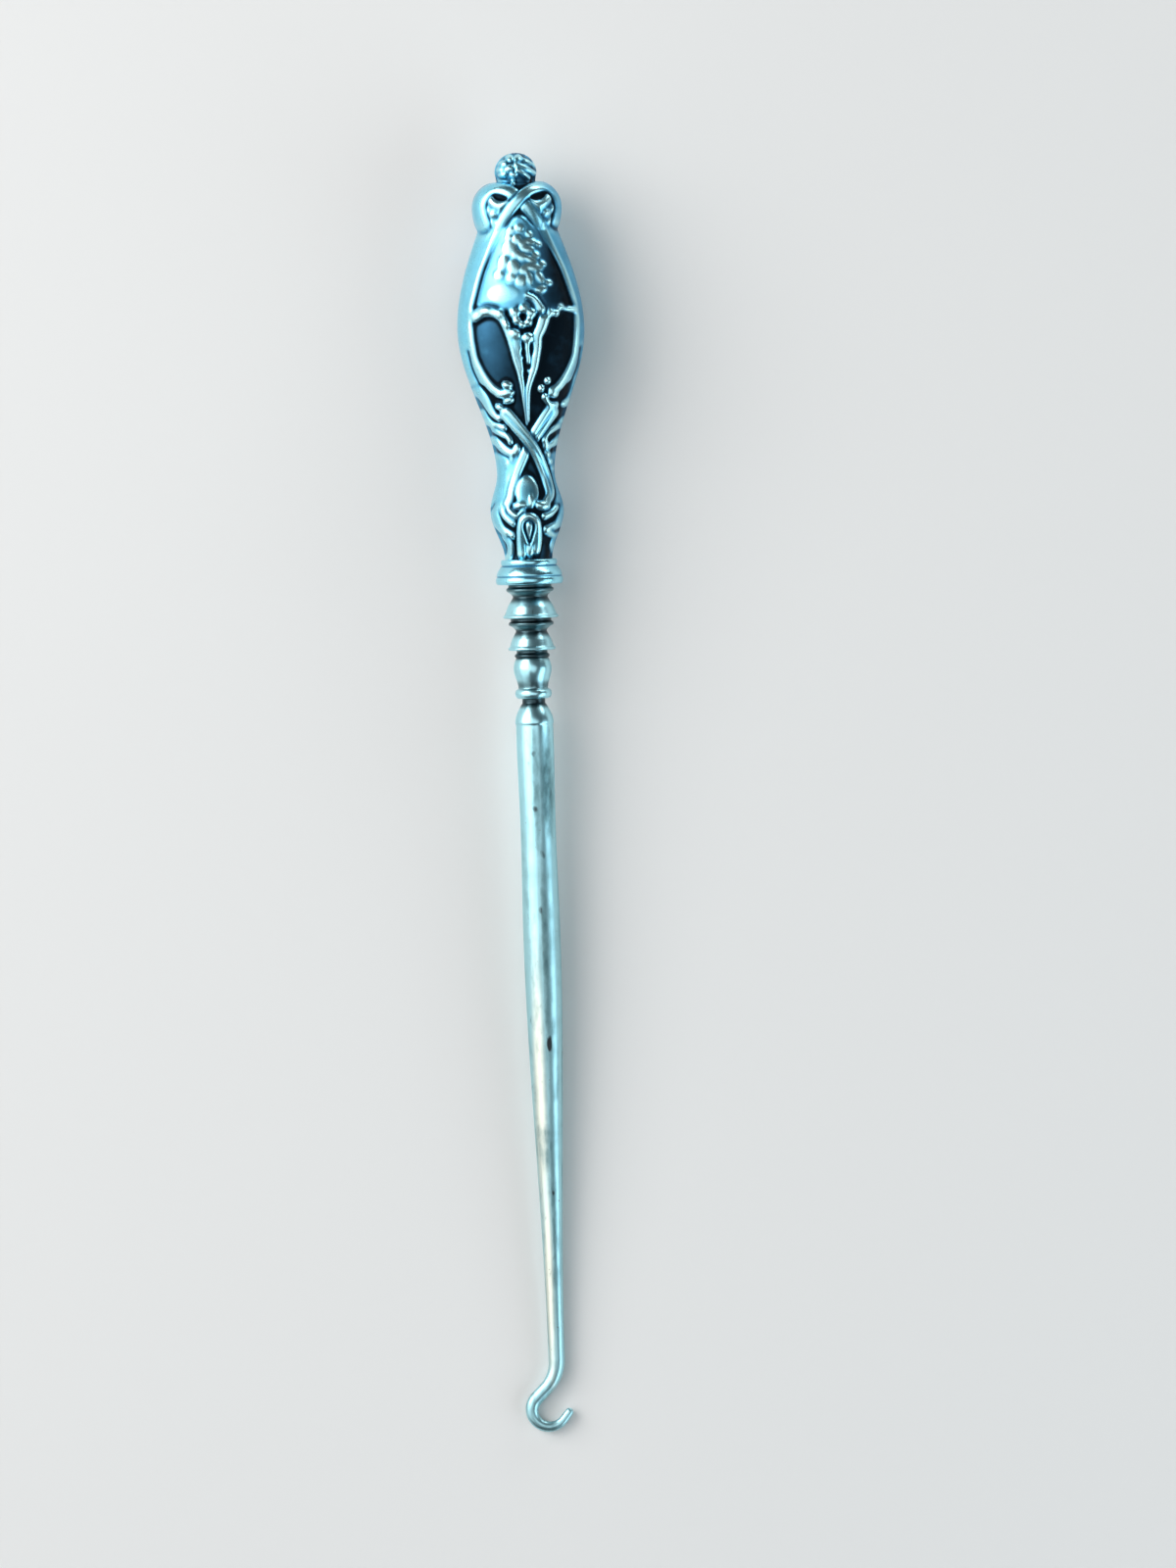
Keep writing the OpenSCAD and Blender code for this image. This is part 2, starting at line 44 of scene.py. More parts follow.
# Where the belly and the curl touch the table: height on the axis, distance from it
REST_BELLY = (40.7, 7.75)
REST_CURL = (-129.36, 0.716)
TOOL_TOP = 65.8
LAY_ANGLE = math.atan2(REST_BELLY[1] - REST_CURL[1], REST_BELLY[0] - REST_CURL[0])
LAY_LIFT = REST_CURL[1] * math.cos(LAY_ANGLE) - REST_CURL[0] * math.sin(LAY_ANGLE)
TOOL_MIDDLE = (TOOL_TOP + REST_CURL[0] - REST_CURL[1]) / 2


def laid(points):
    x, y, z = np.asarray(points, float).T
    along = y * math.sin(LAY_ANGLE) + (z - TOOL_MIDDLE) * math.cos(LAY_ANGLE)
    up = LAY_LIFT + z * math.sin(LAY_ANGLE) - y * math.cos(LAY_ANGLE)
    return np.column_stack([x, along, up]) * MM


def mix(a, b, t):
    return a + (b - a) * t


def smooth(low, high, value):
    t = np.clip((value - low) / (high - low), 0, 1)
    return t * t * (3 - 2 * t)


# Share of a run covered at t, for each kind of curve
def eased(kind, t):
    t = np.asarray(t, float)
    if kind == "ogee":
        return smooth(0, 1, t)
    if kind == "fall":
        return 1 - np.cos(t * math.pi / 2)
    if kind == "rise":
        return np.sin(t * math.pi / 2)
    if kind == "round":
        return 1 - np.sqrt(np.maximum(0, 1 - t * t))
    return t


# Heights of the handle's mouth, the ferrule's top and the crease between band and shoulder
MOUTH = 2.4
FERRULE_TOP = 3.8
CREASE = 53.9
# The handle's outline: height, half width, half depth, curve and rows to the next
OUTLINE = [
    (MOUTH, 3.6, 3.6, "line", 6),
    (FERRULE_TOP, 3.6, 3.6, "ogee", 48),
    (11.2, 5.6, 5.1, "ogee", 36),
    (16.9, 4.4, 4.1, "ogee", 150),
    (38.9, 9.7, 7.2, "fall", 102),
    (CREASE, 6.1, 4.8, "rise", 24),
    (57.5, 6.8, 5.1, "round", 42),
    (61.4, 2.8, 2.8, "ogee", 12),
    (62.8, 3.2, 3.2, "round", 30),
    (TOOL_TOP, 0, 0, "end", 0),
]
# The crease is eased in depth: passes, and distances below and above it over which they set in
CREASE_PASSES = 160
CREASE_BELOW = (6, 3)
CREASE_ABOVE = (5, 2.5)
# Columns across the front, and the share by which they crowd to its middle
COLUMNS = 192
CROWDING = 0.3
# The inside of the sheet has one row and column for this many of the outside
COARSE = 6
# The hollow: its depth under the outline, and the heights and slope of the cone that closes it
SHEET_INSIDE = 0.62
HOLLOW_SHOULDER = 56.0
HOLLOW_TOP = 60.2
HOLLOW_SLOPE = 1.5
# Half the thickness of the solder film
SOLDER_HALF = 0.05


# Values drawn towards their neighbours a number of times, with both ends held
def softened(values, passes):
    values = values.copy()
    for _ in range(passes):
        values[1:-1] = (values[:-2] + 2 * values[1:-1] + values[2:]) / 4
    return values


# Rows of the handle as heights, half widths and half depths
def outline_rows():
    rows = []
    for (z0, w0, d0, kind, count), (z1, w1, d1, *_) in zip(OUTLINE, OUTLINE[1:]):
        t = np.arange(count) / count
        if kind == "round":
            t = np.sin(t * math.pi / 2)
        s = eased(kind, t)
        rows.append(np.column_stack([mix(z0, z1, t), mix(w0, w1, s), mix(d0, d1, s)]))
    rows = np.vstack(rows)
    z = rows[:, 0]
    below = smooth(CREASE - CREASE_BELOW[0], CREASE - CREASE_BELOW[1], z)
    above = smooth(CREASE + CREASE_ABOVE[0], CREASE + CREASE_ABOVE[1], z)
    rows[:, 2] = mix(rows[:, 2], softened(rows[:, 2], CREASE_PASSES), below * above)
    return rows


# The die's drawing: heights over the front plane, x across and z above the ferrule
GROUND = -0.40
KIDNEY_GROUND = -0.52
KIDNEY_RISE = 0.16
# How dark the kidney panels and the bare egg are, left and right, and the painted shade on the right side of
# the handle. Kidneys and egg are tarnish with painted dark reflection, darker on the right as painted shade
KIDNEY_TARNISH_AND_SHADE = (0.55, 1.0)
EGG_TARNISH_AND_SHADE = (0.25, 0.85)
SIDE_PAINTED_SHADE = 0.3
# Lowest the outside of the sheet goes
LOWEST = -0.55
# Power of the rounding across a strap or lump: 0.5 is an ellipse, more is closer to a ridge
ROUNDING = 0.45
# Share of a strap's half width that its groove takes
GROOVE_SHARE = 0.22
# Length over which a side band sinks at its ends
BAND_FADE = 1.2
# The pattern sits a little to the right of the middle of the front
PATTERN_SHIFT = 0.45


def curve_through(points, steps=8):
    p = np.asarray(points, float)
    last = len(p) - 1
    out = []
    for i in range(last):
        a, b, c, d = p[max(i - 1, 0)], p[i], p[i + 1], p[min(i + 2, last)]
        t = np.arange(steps)[:, None] / steps
        out.append(0.5 * (2 * b + (c - a) * t + (2 * a - 5 * b + 4 * c - d) * t**2
                          + (3 * b - a - 3 * c + d) * t**3))
    return np.vstack(out + [p[-1:]])


# Distance of each spot from a line of points, and the share of its length at the nearest place
def distance_along(x, z, line):
    best = np.full(x.shape, 1e9)
    share = np.zeros(x.shape)
    lengths = np.linalg.norm(np.diff(line, axis=0), axis=1)
    starts = np.concatenate([[0], np.cumsum(lengths)])
    for a, b, length, start in zip(line, line[1:], lengths, starts):
        way = (b - a) / max(length, 1e-6)
        t = np.clip((x - a[0]) * way[0] + (z - a[1]) * way[1], 0, length)
        d = np.hypot(x - a[0] - t * way[0], z - a[1] - t * way[1])
        nearer = d < best
        best = np.where(nearer, d, best)
        share = np.where(nearer, (start + t) / starts[-1], share)
    return best, share


class Die:
    def __init__(self, x, z):
        self.x = x
        self.z = z
        self.h = np.full(x.shape, GROUND)
        self.bumps = np.zeros(x.shape)

    def near(self, line, reach):
        low = line.min(0) - reach
        high = line.max(0) + reach
        return np.nonzero((self.x > low[0]) & (self.x < high[0]) & (self.z > low[1]) & (self.z < high[1]))

    # Raised strap whose width and top run from one value to another; a moat parts it from what it crosses
    def strap(self, points, widths, tops, moat=0.0, groove=0.0, moat_from=0.0):
        line = curve_through(points)
        spots = self.near(line, max(widths) / 2 + moat + 0.1)
        d, share = distance_along(self.x[spots], self.z[spots], line)
        half = mix(widths[0], widths[1], share) / 2
        h = self.h[spots]
        if moat:
            parted = smooth(moat_from, moat_from + 0.1, share) * (1 - smooth(0, moat, d - half))
            h = mix(h, np.minimum(h, GROUND), parted)
        t = np.clip(d / half, 0, 1)
        top = mix(tops[0], tops[1], share)
        level = GROUND + (top - GROUND) * (1 - t * t) ** ROUNDING
        level = level - groove * np.exp(-((t / GROOVE_SHARE) ** 2))
        self.h[spots] = np.where(d < half, np.maximum(h, level), h)

    # Rounded lump, such as a bead, petal or leaf: its middle, length, width and turn in degrees
    def drop(self, x, z, length, width, turn, top):
        spots, r = self.within(x, z, length, width, turn)
        level = GROUND + (top - GROUND) * (1 - np.minimum(r, 1)) ** ROUNDING
        self.h[spots] = np.where(r < 1, np.maximum(self.h[spots], level), self.h[spots])

    # Several lumps, each given with its own top or all with the same
    def drops(self, lumps, *top):
        for lump in lumps:
            self.drop(*lump, *top)

    # Lump that stands on what is below it
    def bump(self, x, z, length, width, turn, rise):
        spots, r = self.within(x, z, length, width, turn)
        self.bumps[spots] = np.maximum(self.bumps[spots], rise * np.sqrt(1 - np.minimum(r, 1)))

    # Flat-topped panel with rounded edges
    def panel(self, x, z, length, width, top):
        spots, r = self.within(x, z, length, width, 0)
        level = GROUND + (top - GROUND) * np.sqrt(1 - np.minimum(r, 1) ** 3)
        self.h[spots] = np.where(r < 1, np.maximum(self.h[spots], level), self.h[spots])

    # Groove along a line of points
    def cut(self, points, width, depth):
        line = curve_through(points)
        spots = self.near(line, width)
        d, _ = distance_along(self.x[spots], self.z[spots], line)
        self.h[spots] = self.h[spots] - depth * np.exp(-((2 * d / width) ** 2))

    # Smooth hollow
    def pit(self, x, z, length, width, turn, depth):
        spots, r = self.within(x, z, length, width, turn)
        self.h[spots] = self.h[spots] - depth * (1 - smooth(0.3, 1, r))

    def within(self, x, z, length, width, turn):
        middle = np.array([[x, z]])
        spots = self.near(middle, max(length, width) / 2 + 0.05)
        dx = self.x[spots] - x
        dz = self.z[spots] - z
        c = math.cos(math.radians(turn))
        s = math.sin(math.radians(turn))
        r = (2 * (dx * c + dz * s) / length) ** 2 + (2 * (dz * c - dx * s) / width) ** 2
        return spots, r

    # Level side band outside an edge, given as points of x at z on the right half; side is 1 or -1
    def side_band(self, edge, side, top, roll):
        e = np.asarray(edge, float)
        e = e[np.argsort(e[:, 1])]
        inside = (self.z > e[0, 1]) & (self.z < e[-1, 1])
        reach = side * self.x - np.interp(self.z, e[:, 1], e[:, 0])
        t = np.clip(1 - reach / roll, 0, 1)
        ends = smooth(e[0, 1], e[0, 1] + BAND_FADE, self.z) * smooth(e[-1, 1], e[-1, 1] - BAND_FADE, self.z)
        level = GROUND + (top - GROUND) * np.sqrt(1 - t * t) * ends
        self.h = np.where(inside & (reach > 0), np.maximum(self.h, level), self.h)


# Points of the right half, taken to one side: 1 is the right and -1 the left
def sided(points, side):
    return [(side * x, z) for x, z in points]


# Inner edge of the two main straps that frame the front, on the right half
FRAME_EDGE = [(2.6, 51.3), (3.4, 50.1), (4.9, 46.7), (6.1, 43.9), (7.0, 41.1), (7.65, 38.7), (7.85, 36.4),
              (7.7, 33.6), (7.3, 31.0), (6.5, 28.9), (5.5, 27.1), (4.4, 26.0)]
FRAME_ROLL = 0.9
FRAME_TOP = 0.1
# Heights over which the kidney panels sink in at foot and head, and their reach past the frame
KIDNEY_FOOT = (18.5, 20.5)
KIDNEY_HEAD = (39.0, 38.2)
KIDNEY_REACH = 0.3
EGG_BOTTOM = 37.8
EGG_TOP = 52.4
# Heights over which the egg rounds off at its foot and closes at its top, and the powers of its dome
EGG_FOOT = 1.6
EGG_CLOSING = 2.0
EGG_POWERS = (2.5, 4)
# Gap between the egg and its frame, left and right
EGG_GAP = (0.12, 0.35)
EGG_RISE = 0.68


# The plain kidney panels, the side bands and the domed egg panel
def draw_fields(die):
    edge = np.asarray(FRAME_EDGE[::-1], float)
    width = np.interp(die.z, edge[:, 1], edge[:, 0])
    in_frame = np.abs(die.x) < width + KIDNEY_REACH
    kidney = smooth(*KIDNEY_FOOT, die.z) * smooth(*KIDNEY_HEAD, die.z) * in_frame
    die.h = die.h + (KIDNEY_GROUND - GROUND) * kidney
    ridge = [(x + FRAME_ROLL / 2, z) for x, z in FRAME_EDGE]
    for side in (1, -1):
        die.side_band(FRAME_EDGE, side, 0.0, FRAME_ROLL)
        die.strap(sided(ridge, side), (FRAME_ROLL, FRAME_ROLL), (FRAME_TOP, FRAME_TOP))
    draw_egg(die, width)


# The egg panel inside a frame of the given half width
def draw_egg(die, width):
    closing = np.sqrt(np.clip((EGG_TOP - die.z) / EGG_CLOSING, 0, 1))
    gap = np.where(die.x < 0, *EGG_GAP)
    u = np.clip(np.abs(die.x) / np.maximum(closing * (width - gap), 0.01), 0, 1)
    v = np.clip((die.z - EGG_BOTTOM) / EGG_FOOT, 0, 1)
    inside = (die.z > EGG_BOTTOM) & (die.z < EGG_TOP) & (u < 1)
    across, along = EGG_POWERS
    dome = GROUND + EGG_RISE * np.sqrt(np.maximum(0, 1 - u**across - (1 - v) ** along))
    die.bare_egg = np.where(inside, dome, 2 * LOWEST)
    die.h = np.maximum(die.h, die.bare_egg)


# Flower spray on the egg panel: middle, length, width, turn
SPRAY = [
    (-0.2, 50.4, 1.5, 1.4, 0), (-1.5, 50.1, 1.5, 1.2, 10), (-1.8, 49.1, 1.3, 1.2, 0),
    (-0.6, 48.7, 1.5, 1.7, 0), (-1.7, 47.4, 2.4, 2.6, 30), (-0.8, 46.5, 1.6, 1.6, 0),
    (-2.8, 45.3, 1.7, 2.8, -15), (-1.2, 44.5, 2.0, 2.6, 12), (-3.5, 43.4, 1.7, 1.8, 0),
    (-1.6, 42.9, 1.4, 1.6, 0), (1.3, 48.3, 2.3, 1.1, -6), (2.7, 47.9, 1.1, 0.9, 0),
    (0.9, 47.2, 2.3, 1.2, -8), (2.2, 46.2, 1.4, 1.1, -20), (1.3, 45.6, 2.4, 1.0, -25),
    (1.7, 44.4, 3.4, 1.3, -9), (1.1, 42.7, 1.1, 2.3, 10), (2.7, 42.8, 1.2, 2.2, 30),
    (4.0, 42.0, 1.3, 1.0, -20), (2.8, 41.0, 2.0, 1.3, 15), (-0.2, 42.4, 1.8, 2.0, 0),
    (0.2, 48.0, 1.4, 1.3, 0), (0.3, 44.0, 1.5, 1.5, 0), (0.1, 46.0, 1.5, 1.4, 0),
    (3.2, 44.9, 1.3, 0.9, -30), (1.3, 49.4, 1.3, 1.0, -40),
]
SPRAY_RISE = 0.22
# Low swelling at the foot of the egg, in the same terms
EGG_SWELL = (-3.0, 40.6, 5.2, 3.0, 0)
EGG_SWELL_RISE = 0.12
# The rosette's middle, the tendril over it, and its petals: places from its middle and sizes
ROSETTE = (0.05, 37.0)
TENDRIL = [(0.6, 40.2), (1.8, 39.6), (2.8, 38.0)]
ROSETTE_TOP = 0.45
PETALS = [(-1.35, 0.6, 2.0), (0.1, 1.25, 1.9), (1.2, 0.45, 1.9), (0.75, -0.9, 1.6), (-0.2, -1.3, 1.3),
          (-1.05, -0.6, 1.6)]


def draw_egg_spray(die):
    for lump in SPRAY:
        die.bump(*lump, SPRAY_RISE)
    die.bump(*EGG_SWELL, EGG_SWELL_RISE)
    die.h = die.h + die.bumps


def draw_rosette(die):
    x, z = ROSETTE
    die.pit(x, z, 5.0, 4.8, 0, 0.3)
    die.strap(TENDRIL, (1.3, 1.6), (ROSETTE_TOP, ROSETTE_TOP), 0.25)
    for dx, dz, size in PETALS:
        die.drop(x + dx, z + dz, size, size, 0, ROSETTE_TOP)
    die.pit(x, z, 0.8, 0.8, 0, 0.15)


LEFT_ARM = [(-7.6, 37.3), (-6.0, 38.0), (-4.4, 37.8), (-3.3, 37.0), (-2.6, 35.6), (-2.1, 34.0), (-1.7, 32.4),
            (-1.3, 30.4), (-0.8, 28.5), (-0.5, 26.6), (-0.25, 24.4), (-0.05, 22.3), (0.0, 20.4)]
RIGHT_ARM = [(3.2, 36.6), (2.7, 35.2), (2.1, 33.9), (2.0, 32.4), (1.75, 30.6), (1.4, 28.9), (0.8, 27.2),
             (0.35, 25.3), (0.3, 21.0)]
# Beads along the tops of the arms: middle, length, width, turn
ARM_BEADS = [(-5.9, 38.0, 2.8, 1.6, 4), (-3.6, 37.5, 1.8, 1.8, -20), (-2.6, 35.8, 1.2, 1.6, 0),
             (5.7, 38.3, 1.2, 1.2, 0), (5.1, 37.4, 1.2, 1.2, 0), (4.1, 37.5, 1.6, 1.6, 0),
             (7.6, 37.9, 1.6, 0.9, -30)]
ARM_BEAD_TOP = 0.32
RIGHT_TWIG = [(5.6, 38.2), (6.6, 38.0), (7.9, 37.7)]
# Sepals between the arms: points, widths and tops
SEPALS = [
    ([(-1.35, 34.4), (-1.2, 32.6), (-0.7, 30.6), (-0.4, 28.6)], (1.2, 0.5), (0.2, -0.1)),
    ([(-0.7, 34.0), (-0.6, 32.4), (-0.2, 30.8)], (0.7, 0.5), (0.1, -0.1)),
    ([(0.6, 33.8), (0.5, 32.2), (0.6, 30.6), (0.5, 28.6)], (1.1, 0.5), (0.2, -0.1)),
]
# Beads over the sepals: middle, length, width, turn, top. Hollows among them have a depth in its place
SEPAL_BEADS = [(-1.35, 34.4, 2.0, 2.0, 0, 0.36), (0.6, 33.7, 2.0, 2.0, 0, 0.36)]
SEPAL_PITS = [(-0.2, 31.4, 0.9, 1.2, 0, 0.3), (0.5, 29.3, 1.0, 1.2, 0, 0.3), (1.2, 31.9, 0.6, 1.9, 0, 0.25)]


def draw_arms(die):
    die.strap(RIGHT_TWIG, (0.7, 0.7), (0.0, 0.0))
    die.strap(LEFT_ARM, (2.0, 0.4), (0.14, -0.16), 0.25)
    die.strap(RIGHT_ARM, (2.0, 0.4), (0.25, -0.16), 0.25)
    die.drops(ARM_BEADS, ARM_BEAD_TOP)
    for sepal in SEPALS:
        die.strap(*sepal)
    die.drops(SEPAL_BEADS)
    for pit in SEPAL_PITS:
        die.pit(*pit)


# The straps' inner branch on the right half, and the groove that parts it
INNER_BRANCH = [(8.2, 34.0), (8.0, 31.6), (7.3, 29.5), (6.3, 27.6), (5.2, 26.2), (4.2, 25.5)]
BRANCH_GROOVE = [(8.7, 32.0), (8.2, 29.4), (7.3, 27.2), (6.6, 26.0)]
# Scroll ends of the branches, left then right: middle, length, width, turn, top
SCROLL_LOBES = [(-3.3, 25.3, 3.2, 1.5, 8, 0.34), (-2.9, 26.6, 1.9, 1.3, -10, 0.32),
                (-2.8, 24.2, 2.0, 1.1, 15, 0.24), (-4.2, 23.3, 1.6, 1.1, -20, 0.26),
                (4.3, 25.1, 1.7, 1.6, 0, 0.34), (3.5, 27.0, 1.1, 1.1, 0, 0.18),
                (2.5, 25.9, 1.1, 1.2, -30, 0.16), (3.0, 24.6, 1.1, 1.2, 0, 0.16)]
RIGHT_SCROLL_TAIL = [(3.0, 24.6), (3.5, 23.7), (4.7, 23.4)]


def draw_scrolls(die):
    for side in (1, -1):
        die.cut(sided(BRANCH_GROOVE, side), 0.5, 0.3)
        die.strap(sided(INNER_BRANCH, side), (0.9, 1.5), (0.0, 0.15))
    die.strap(RIGHT_SCROLL_TAIL, (0.9, 0.9), (0.15, 0.15))
    die.drops(SCROLL_LOBES)


# Flame leaves between the scrolls and the waist: a line from the rim inwards, and its widths
FLAMES = [
    ([(-7.6, 26.0), (-6.5, 24.5), (-5.8, 23.2), (-5.2, 22.3), (-4.3, 21.5)], (1.7, 1.0)),
    ([(-6.9, 22.6), (-6.3, 21.4), (-5.4, 20.6), (-3.7, 20.1)], (1.0, 1.2)),
    ([(-5.3, 19.9), (-4.3, 19.3), (-3.1, 18.7), (-2.7, 17.9)], (1.0, 0.9)),
    ([(-5.3, 18.4), (-4.4, 17.4), (-3.6, 16.7), (-2.5, 16.2)], (1.3, 1.4)),
    ([(8.0, 27.5), (7.5, 25.7), (6.8, 24.3), (5.9, 23.4)], (0.9, 1.0)),
    ([(6.8, 22.4), (5.8, 21.0), (5.0, 20.3)], (0.9, 1.1)),
    ([(5.6, 20.4), (4.4, 19.8), (3.2, 19.1), (2.7, 18.3), (2.9, 17.6)], (1.0, 1.0)),
    ([(5.4, 18.9), (4.6, 18.0), (3.9, 17.4)], (1.0, 1.1)),
]
# Lumps that end the flames: middle, length, width, turn, top
FLAME_LUMPS = [(3.1, 17.1, 1.5, 1.3, 0, 0.2), (2.8, 15.8, 1.8, 1.4, 30, 0.25), (3.3, 14.8, 1.3, 1.1, 0, 0.15),
               (3.8, 13.8, 1.0, 1.3, 0, 0.0), (-1.9, 16.6, 1.5, 2.2, -25, 0.1),
               (-3.3, 14.6, 1.6, 1.8, -30, 0.04), (-2.6, 15.3, 1.2, 1.1, 0, 0.08)]
FLAME_TOPS = (-0.05, 0.16)


def draw_flames(die):
    for line, widths in FLAMES:
        die.strap(line, widths, FLAME_TOPS, 0.25)
    die.drops(FLAME_LUMPS)


# Straps that cross at the waist, each of two ridges, and close the lancet arch below
OVER_BRAID = [(-3.2, 22.2), (-1.6, 20.3), (-0.1, 18.4), (1.4, 16.1), (2.4, 13.7), (3.0, 11.6), (3.3, 9.9),
              (2.7, 8.8)]
UNDER_BRAID_TOP = [(3.9, 22.3), (2.6, 20.6), (1.3, 18.9), (0.2, 17.4)]
UNDER_BRAID_LOW = [(0.2, 17.4), (-0.8, 15.4), (-1.9, 13.2), (-2.7, 11.2), (-3.1, 9.6), (-3.6, 8.6)]
WAIST_EDGE = [(0.9, 16.9), (1.9, 13.9), (2.7, 11.4), (3.1, 9.3), (4.0, 7.4)]
WAIST_ROLL = 0.6
# Shield under the arch: middle, length, width, top. The lobes at its foot have a turn before the top
SHIELD = (-0.35, 10.3, 3.9, 5.2, 0.06)
SHIELD_LOBES = [(0.25, 9.2, 1.3, 3.0, 0, 0.22), (-1.5, 8.3, 2.6, 1.5, 0, 0.26),
                (2.1, 8.2, 2.6, 1.6, -10, 0.24)]


def draw_waist(die):
    die.side_band(WAIST_EDGE, -1, -0.06, WAIST_ROLL)
    die.side_band(WAIST_EDGE, 1, -0.14, WAIST_ROLL)
    draw_flames(die)
    die.strap(UNDER_BRAID_TOP, (2.4, 2.0), (0.2, 0.16), 0.3, 0.2)
    die.strap(UNDER_BRAID_LOW, (1.6, 1.5), (0.14, 0.12), 0, 0.05)
    die.strap(OVER_BRAID, (2.2, 1.4), (0.28, 0.16), 0.35, 0.18)
    die.panel(*SHIELD)
    die.drops(SHIELD_LOBES)


# Scrolls on the foot of the handle: points, widths and tops
FOOT_SCROLLS = [
    ([(-3.4, 7.7), (-2.6, 6.9), (-1.8, 6.6), (-1.0, 7.3)], (1.2, 1.1), (0.12, 0.15)),
    ([(-4.6, 8.6), (-5.3, 7.4), (-5.3, 6.2), (-4.5, 4.6), (-3.0, 3.6)], (1.7, 1.2), (0.0, 0.14)),
    ([(-4.4, 7.7), (-3.9, 6.6), (-2.7, 5.5)], (1.1, 1.1), (0.05, 0.16)),
    ([(-4.1, 3.5), (-3.4, 2.4), (-3.4, 1.2), (-3.7, 0.3)], (1.2, 1.1), (0.0, 0.0)),
    ([(2.4, 6.5), (3.3, 6.9), (4.2, 7.8)], (1.2, 1.0), (0.12, 0.05)),
    ([(5.2, 7.8), (4.9, 6.6), (4.2, 5.2), (2.7, 4.3)], (1.1, 1.6), (0.0, 0.2)),
    ([(2.7, 4.1), (3.5, 3.6), (4.7, 3.6)], (1.2, 1.0), (0.15, 0.0)),
    ([(3.8, 3.0), (3.5, 1.8), (3.9, 0.4)], (1.1, 1.1), (0.0, 0.0)),
]


def draw_foot(die):
    for scroll in FOOT_SCROLLS:
        die.strap(*scroll, moat=0.2)


HUSK = [(-1.55, 0.8), (-1.55, 3.0), (-1.4, 5.2), (-0.95, 6.1), (-0.2, 6.45), (0.6, 6.1), (1.05, 5.2),
        (1.1, 3.0), (0.8, 1.3)]
# Groove round the pointed bud in the husk
HUSK_BUD = [(-0.2, 6.0), (-0.8, 5.5), (-0.9, 4.7), (-0.6, 3.6), (-0.2, 2.5), (0.2, 3.6), (0.5, 4.7),
            (0.4, 5.5), (-0.2, 6.0)]


# Arched husk in the middle of the foot, closed by a petal, with a bud in it
def draw_husk(die):
    die.strap(HUSK, (1.6, 1.5), (0.18, 0.18), 0.3)
    die.panel(-0.2, 4.4, 3.0, 5.2, 0.16)
    die.drop(-0.22, 1.4, 1.5, 2.4, 0, 0.14)
    die.cut(HUSK_BUD, 0.42, 0.5)


# Strap that leaves the band, crosses at the top and loops over at the shoulder, from left to right
LOOP = [(-7.7, 42.5), (-6.5, 45.2), (-5.2, 47.7), (-3.95, 49.7), (-2.7, 51.6), (-1.5, 53.2), (-0.25, 54.6),
        (0.95, 55.8), (2.4, 56.7), (3.9, 57.0), (5.1, 56.5), (6.0, 55.3), (6.4, 53.8), (6.2, 52.4),
        (5.8, 51.1)]
# Share of its length after which it stands free of the band
LOOP_FREE = 0.34
SHOULDER_EDGE = [(5.4, 49.0), (6.2, 51.5), (6.3, 53.8), (5.8, 55.5), (4.8, 57.2)]
# Curl inside the loop, and lobes below it: middle, length, width, turn
LOOP_CURL = [(1.6, 54.5), (2.7, 53.8), (3.8, 54.1), (4.6, 55.1)]
SHOULDER_LOBES = [(4.2, 52.7, 1.5, 1.4, 0), (5.3, 53.2, 1.2, 1.5, 0), (2.9, 52.8, 1.4, 1.0, 30),
                  (4.7, 51.3, 1.6, 1.4, 0), (6.0, 51.0, 1.5, 1.4, 0), (3.5, 51.3, 1.2, 1.3, 0)]
SHOULDER_LOBE_TOP = 0.14


def draw_shoulders(die):
    for side in (1, -1):
        die.panel(side * 3.6, 52.6, 5.6, 6.0, -0.16)
        die.side_band(SHOULDER_EDGE, side, -0.02, 0.5)
        die.strap(sided(LOOP_CURL, side), (1.4, 1.3), (0.02, 0.12))
        for x, *rest in SHOULDER_LOBES:
            die.drop(side * x, *rest, SHOULDER_LOBE_TOP)
        die.pit(side * 2.9, 55.25, 2.6, 1.1, side * 12, 0.5)
    die.strap(sided(LOOP, -1), (1.8, 2.5), (0.0, 0.08), 0.14, 0, LOOP_FREE)
    die.strap(LOOP, (1.8, 2.0), (0.0, 0.2), 0.2, 0, LOOP_FREE)


# Leaf lobes on the finial: middle, length, width, turn
FINIAL_LOBES = [(-1.35, 61.3, 1.5, 1.2, 0), (0.05, 61.2, 1.7, 1.3, 0), (1.5, 60.6, 2.2, 0.9, -35),
                (-2.4, 60.5, 1.7, 1.1, 10), (-2.9, 59.5, 1.4, 1.0, 0), (-1.6, 59.6, 2.1, 1.2, 25),
                (-0.8, 58.5, 1.6, 1.1, 0), (-2.6, 58.6, 1.7, 0.9, 0), (-0.9, 57.6, 0.9, 1.0, 0),
                (2.6, 60.1, 1.3, 0.9, -35), (2.6, 61.0, 1.2, 0.8, -35)]
FINIAL_RIDGES = [
    ([(-0.3, 60.2), (0.75, 59.9), (1.6, 59.4), (2.4, 58.8)], (0.9, 0.9)),
    ([(-0.1, 59.3), (0.75, 58.8), (1.6, 58.0)], (0.9, 0.8)),
]
FINIAL_TOP = 0.12


def draw_finial(die):
    die.panel(-0.4, 60, 9.0, 5.6, -0.24)
    die.drops(FINIAL_LOBES, FINIAL_TOP)
    for line, widths in FINIAL_RIDGES:
        die.strap(line, widths, (FINIAL_TOP, FINIAL_TOP))


def blurred(h, passes):
    for _ in range(passes):
        p = np.pad(h, 1, mode="edge")
        h = (p[:-2, 1:-1] + 2 * p[1:-1, 1:-1] + p[2:, 1:-1]) / 4
        p = np.pad(h, 1, mode="edge")
        h = (p[1:-1, :-2] + 2 * p[1:-1, 1:-1] + p[1:-1, 2:]) / 4
    return h


# The die is drawn on a grid this many times finer, so that its steep edges come out smooth
FINER = 3


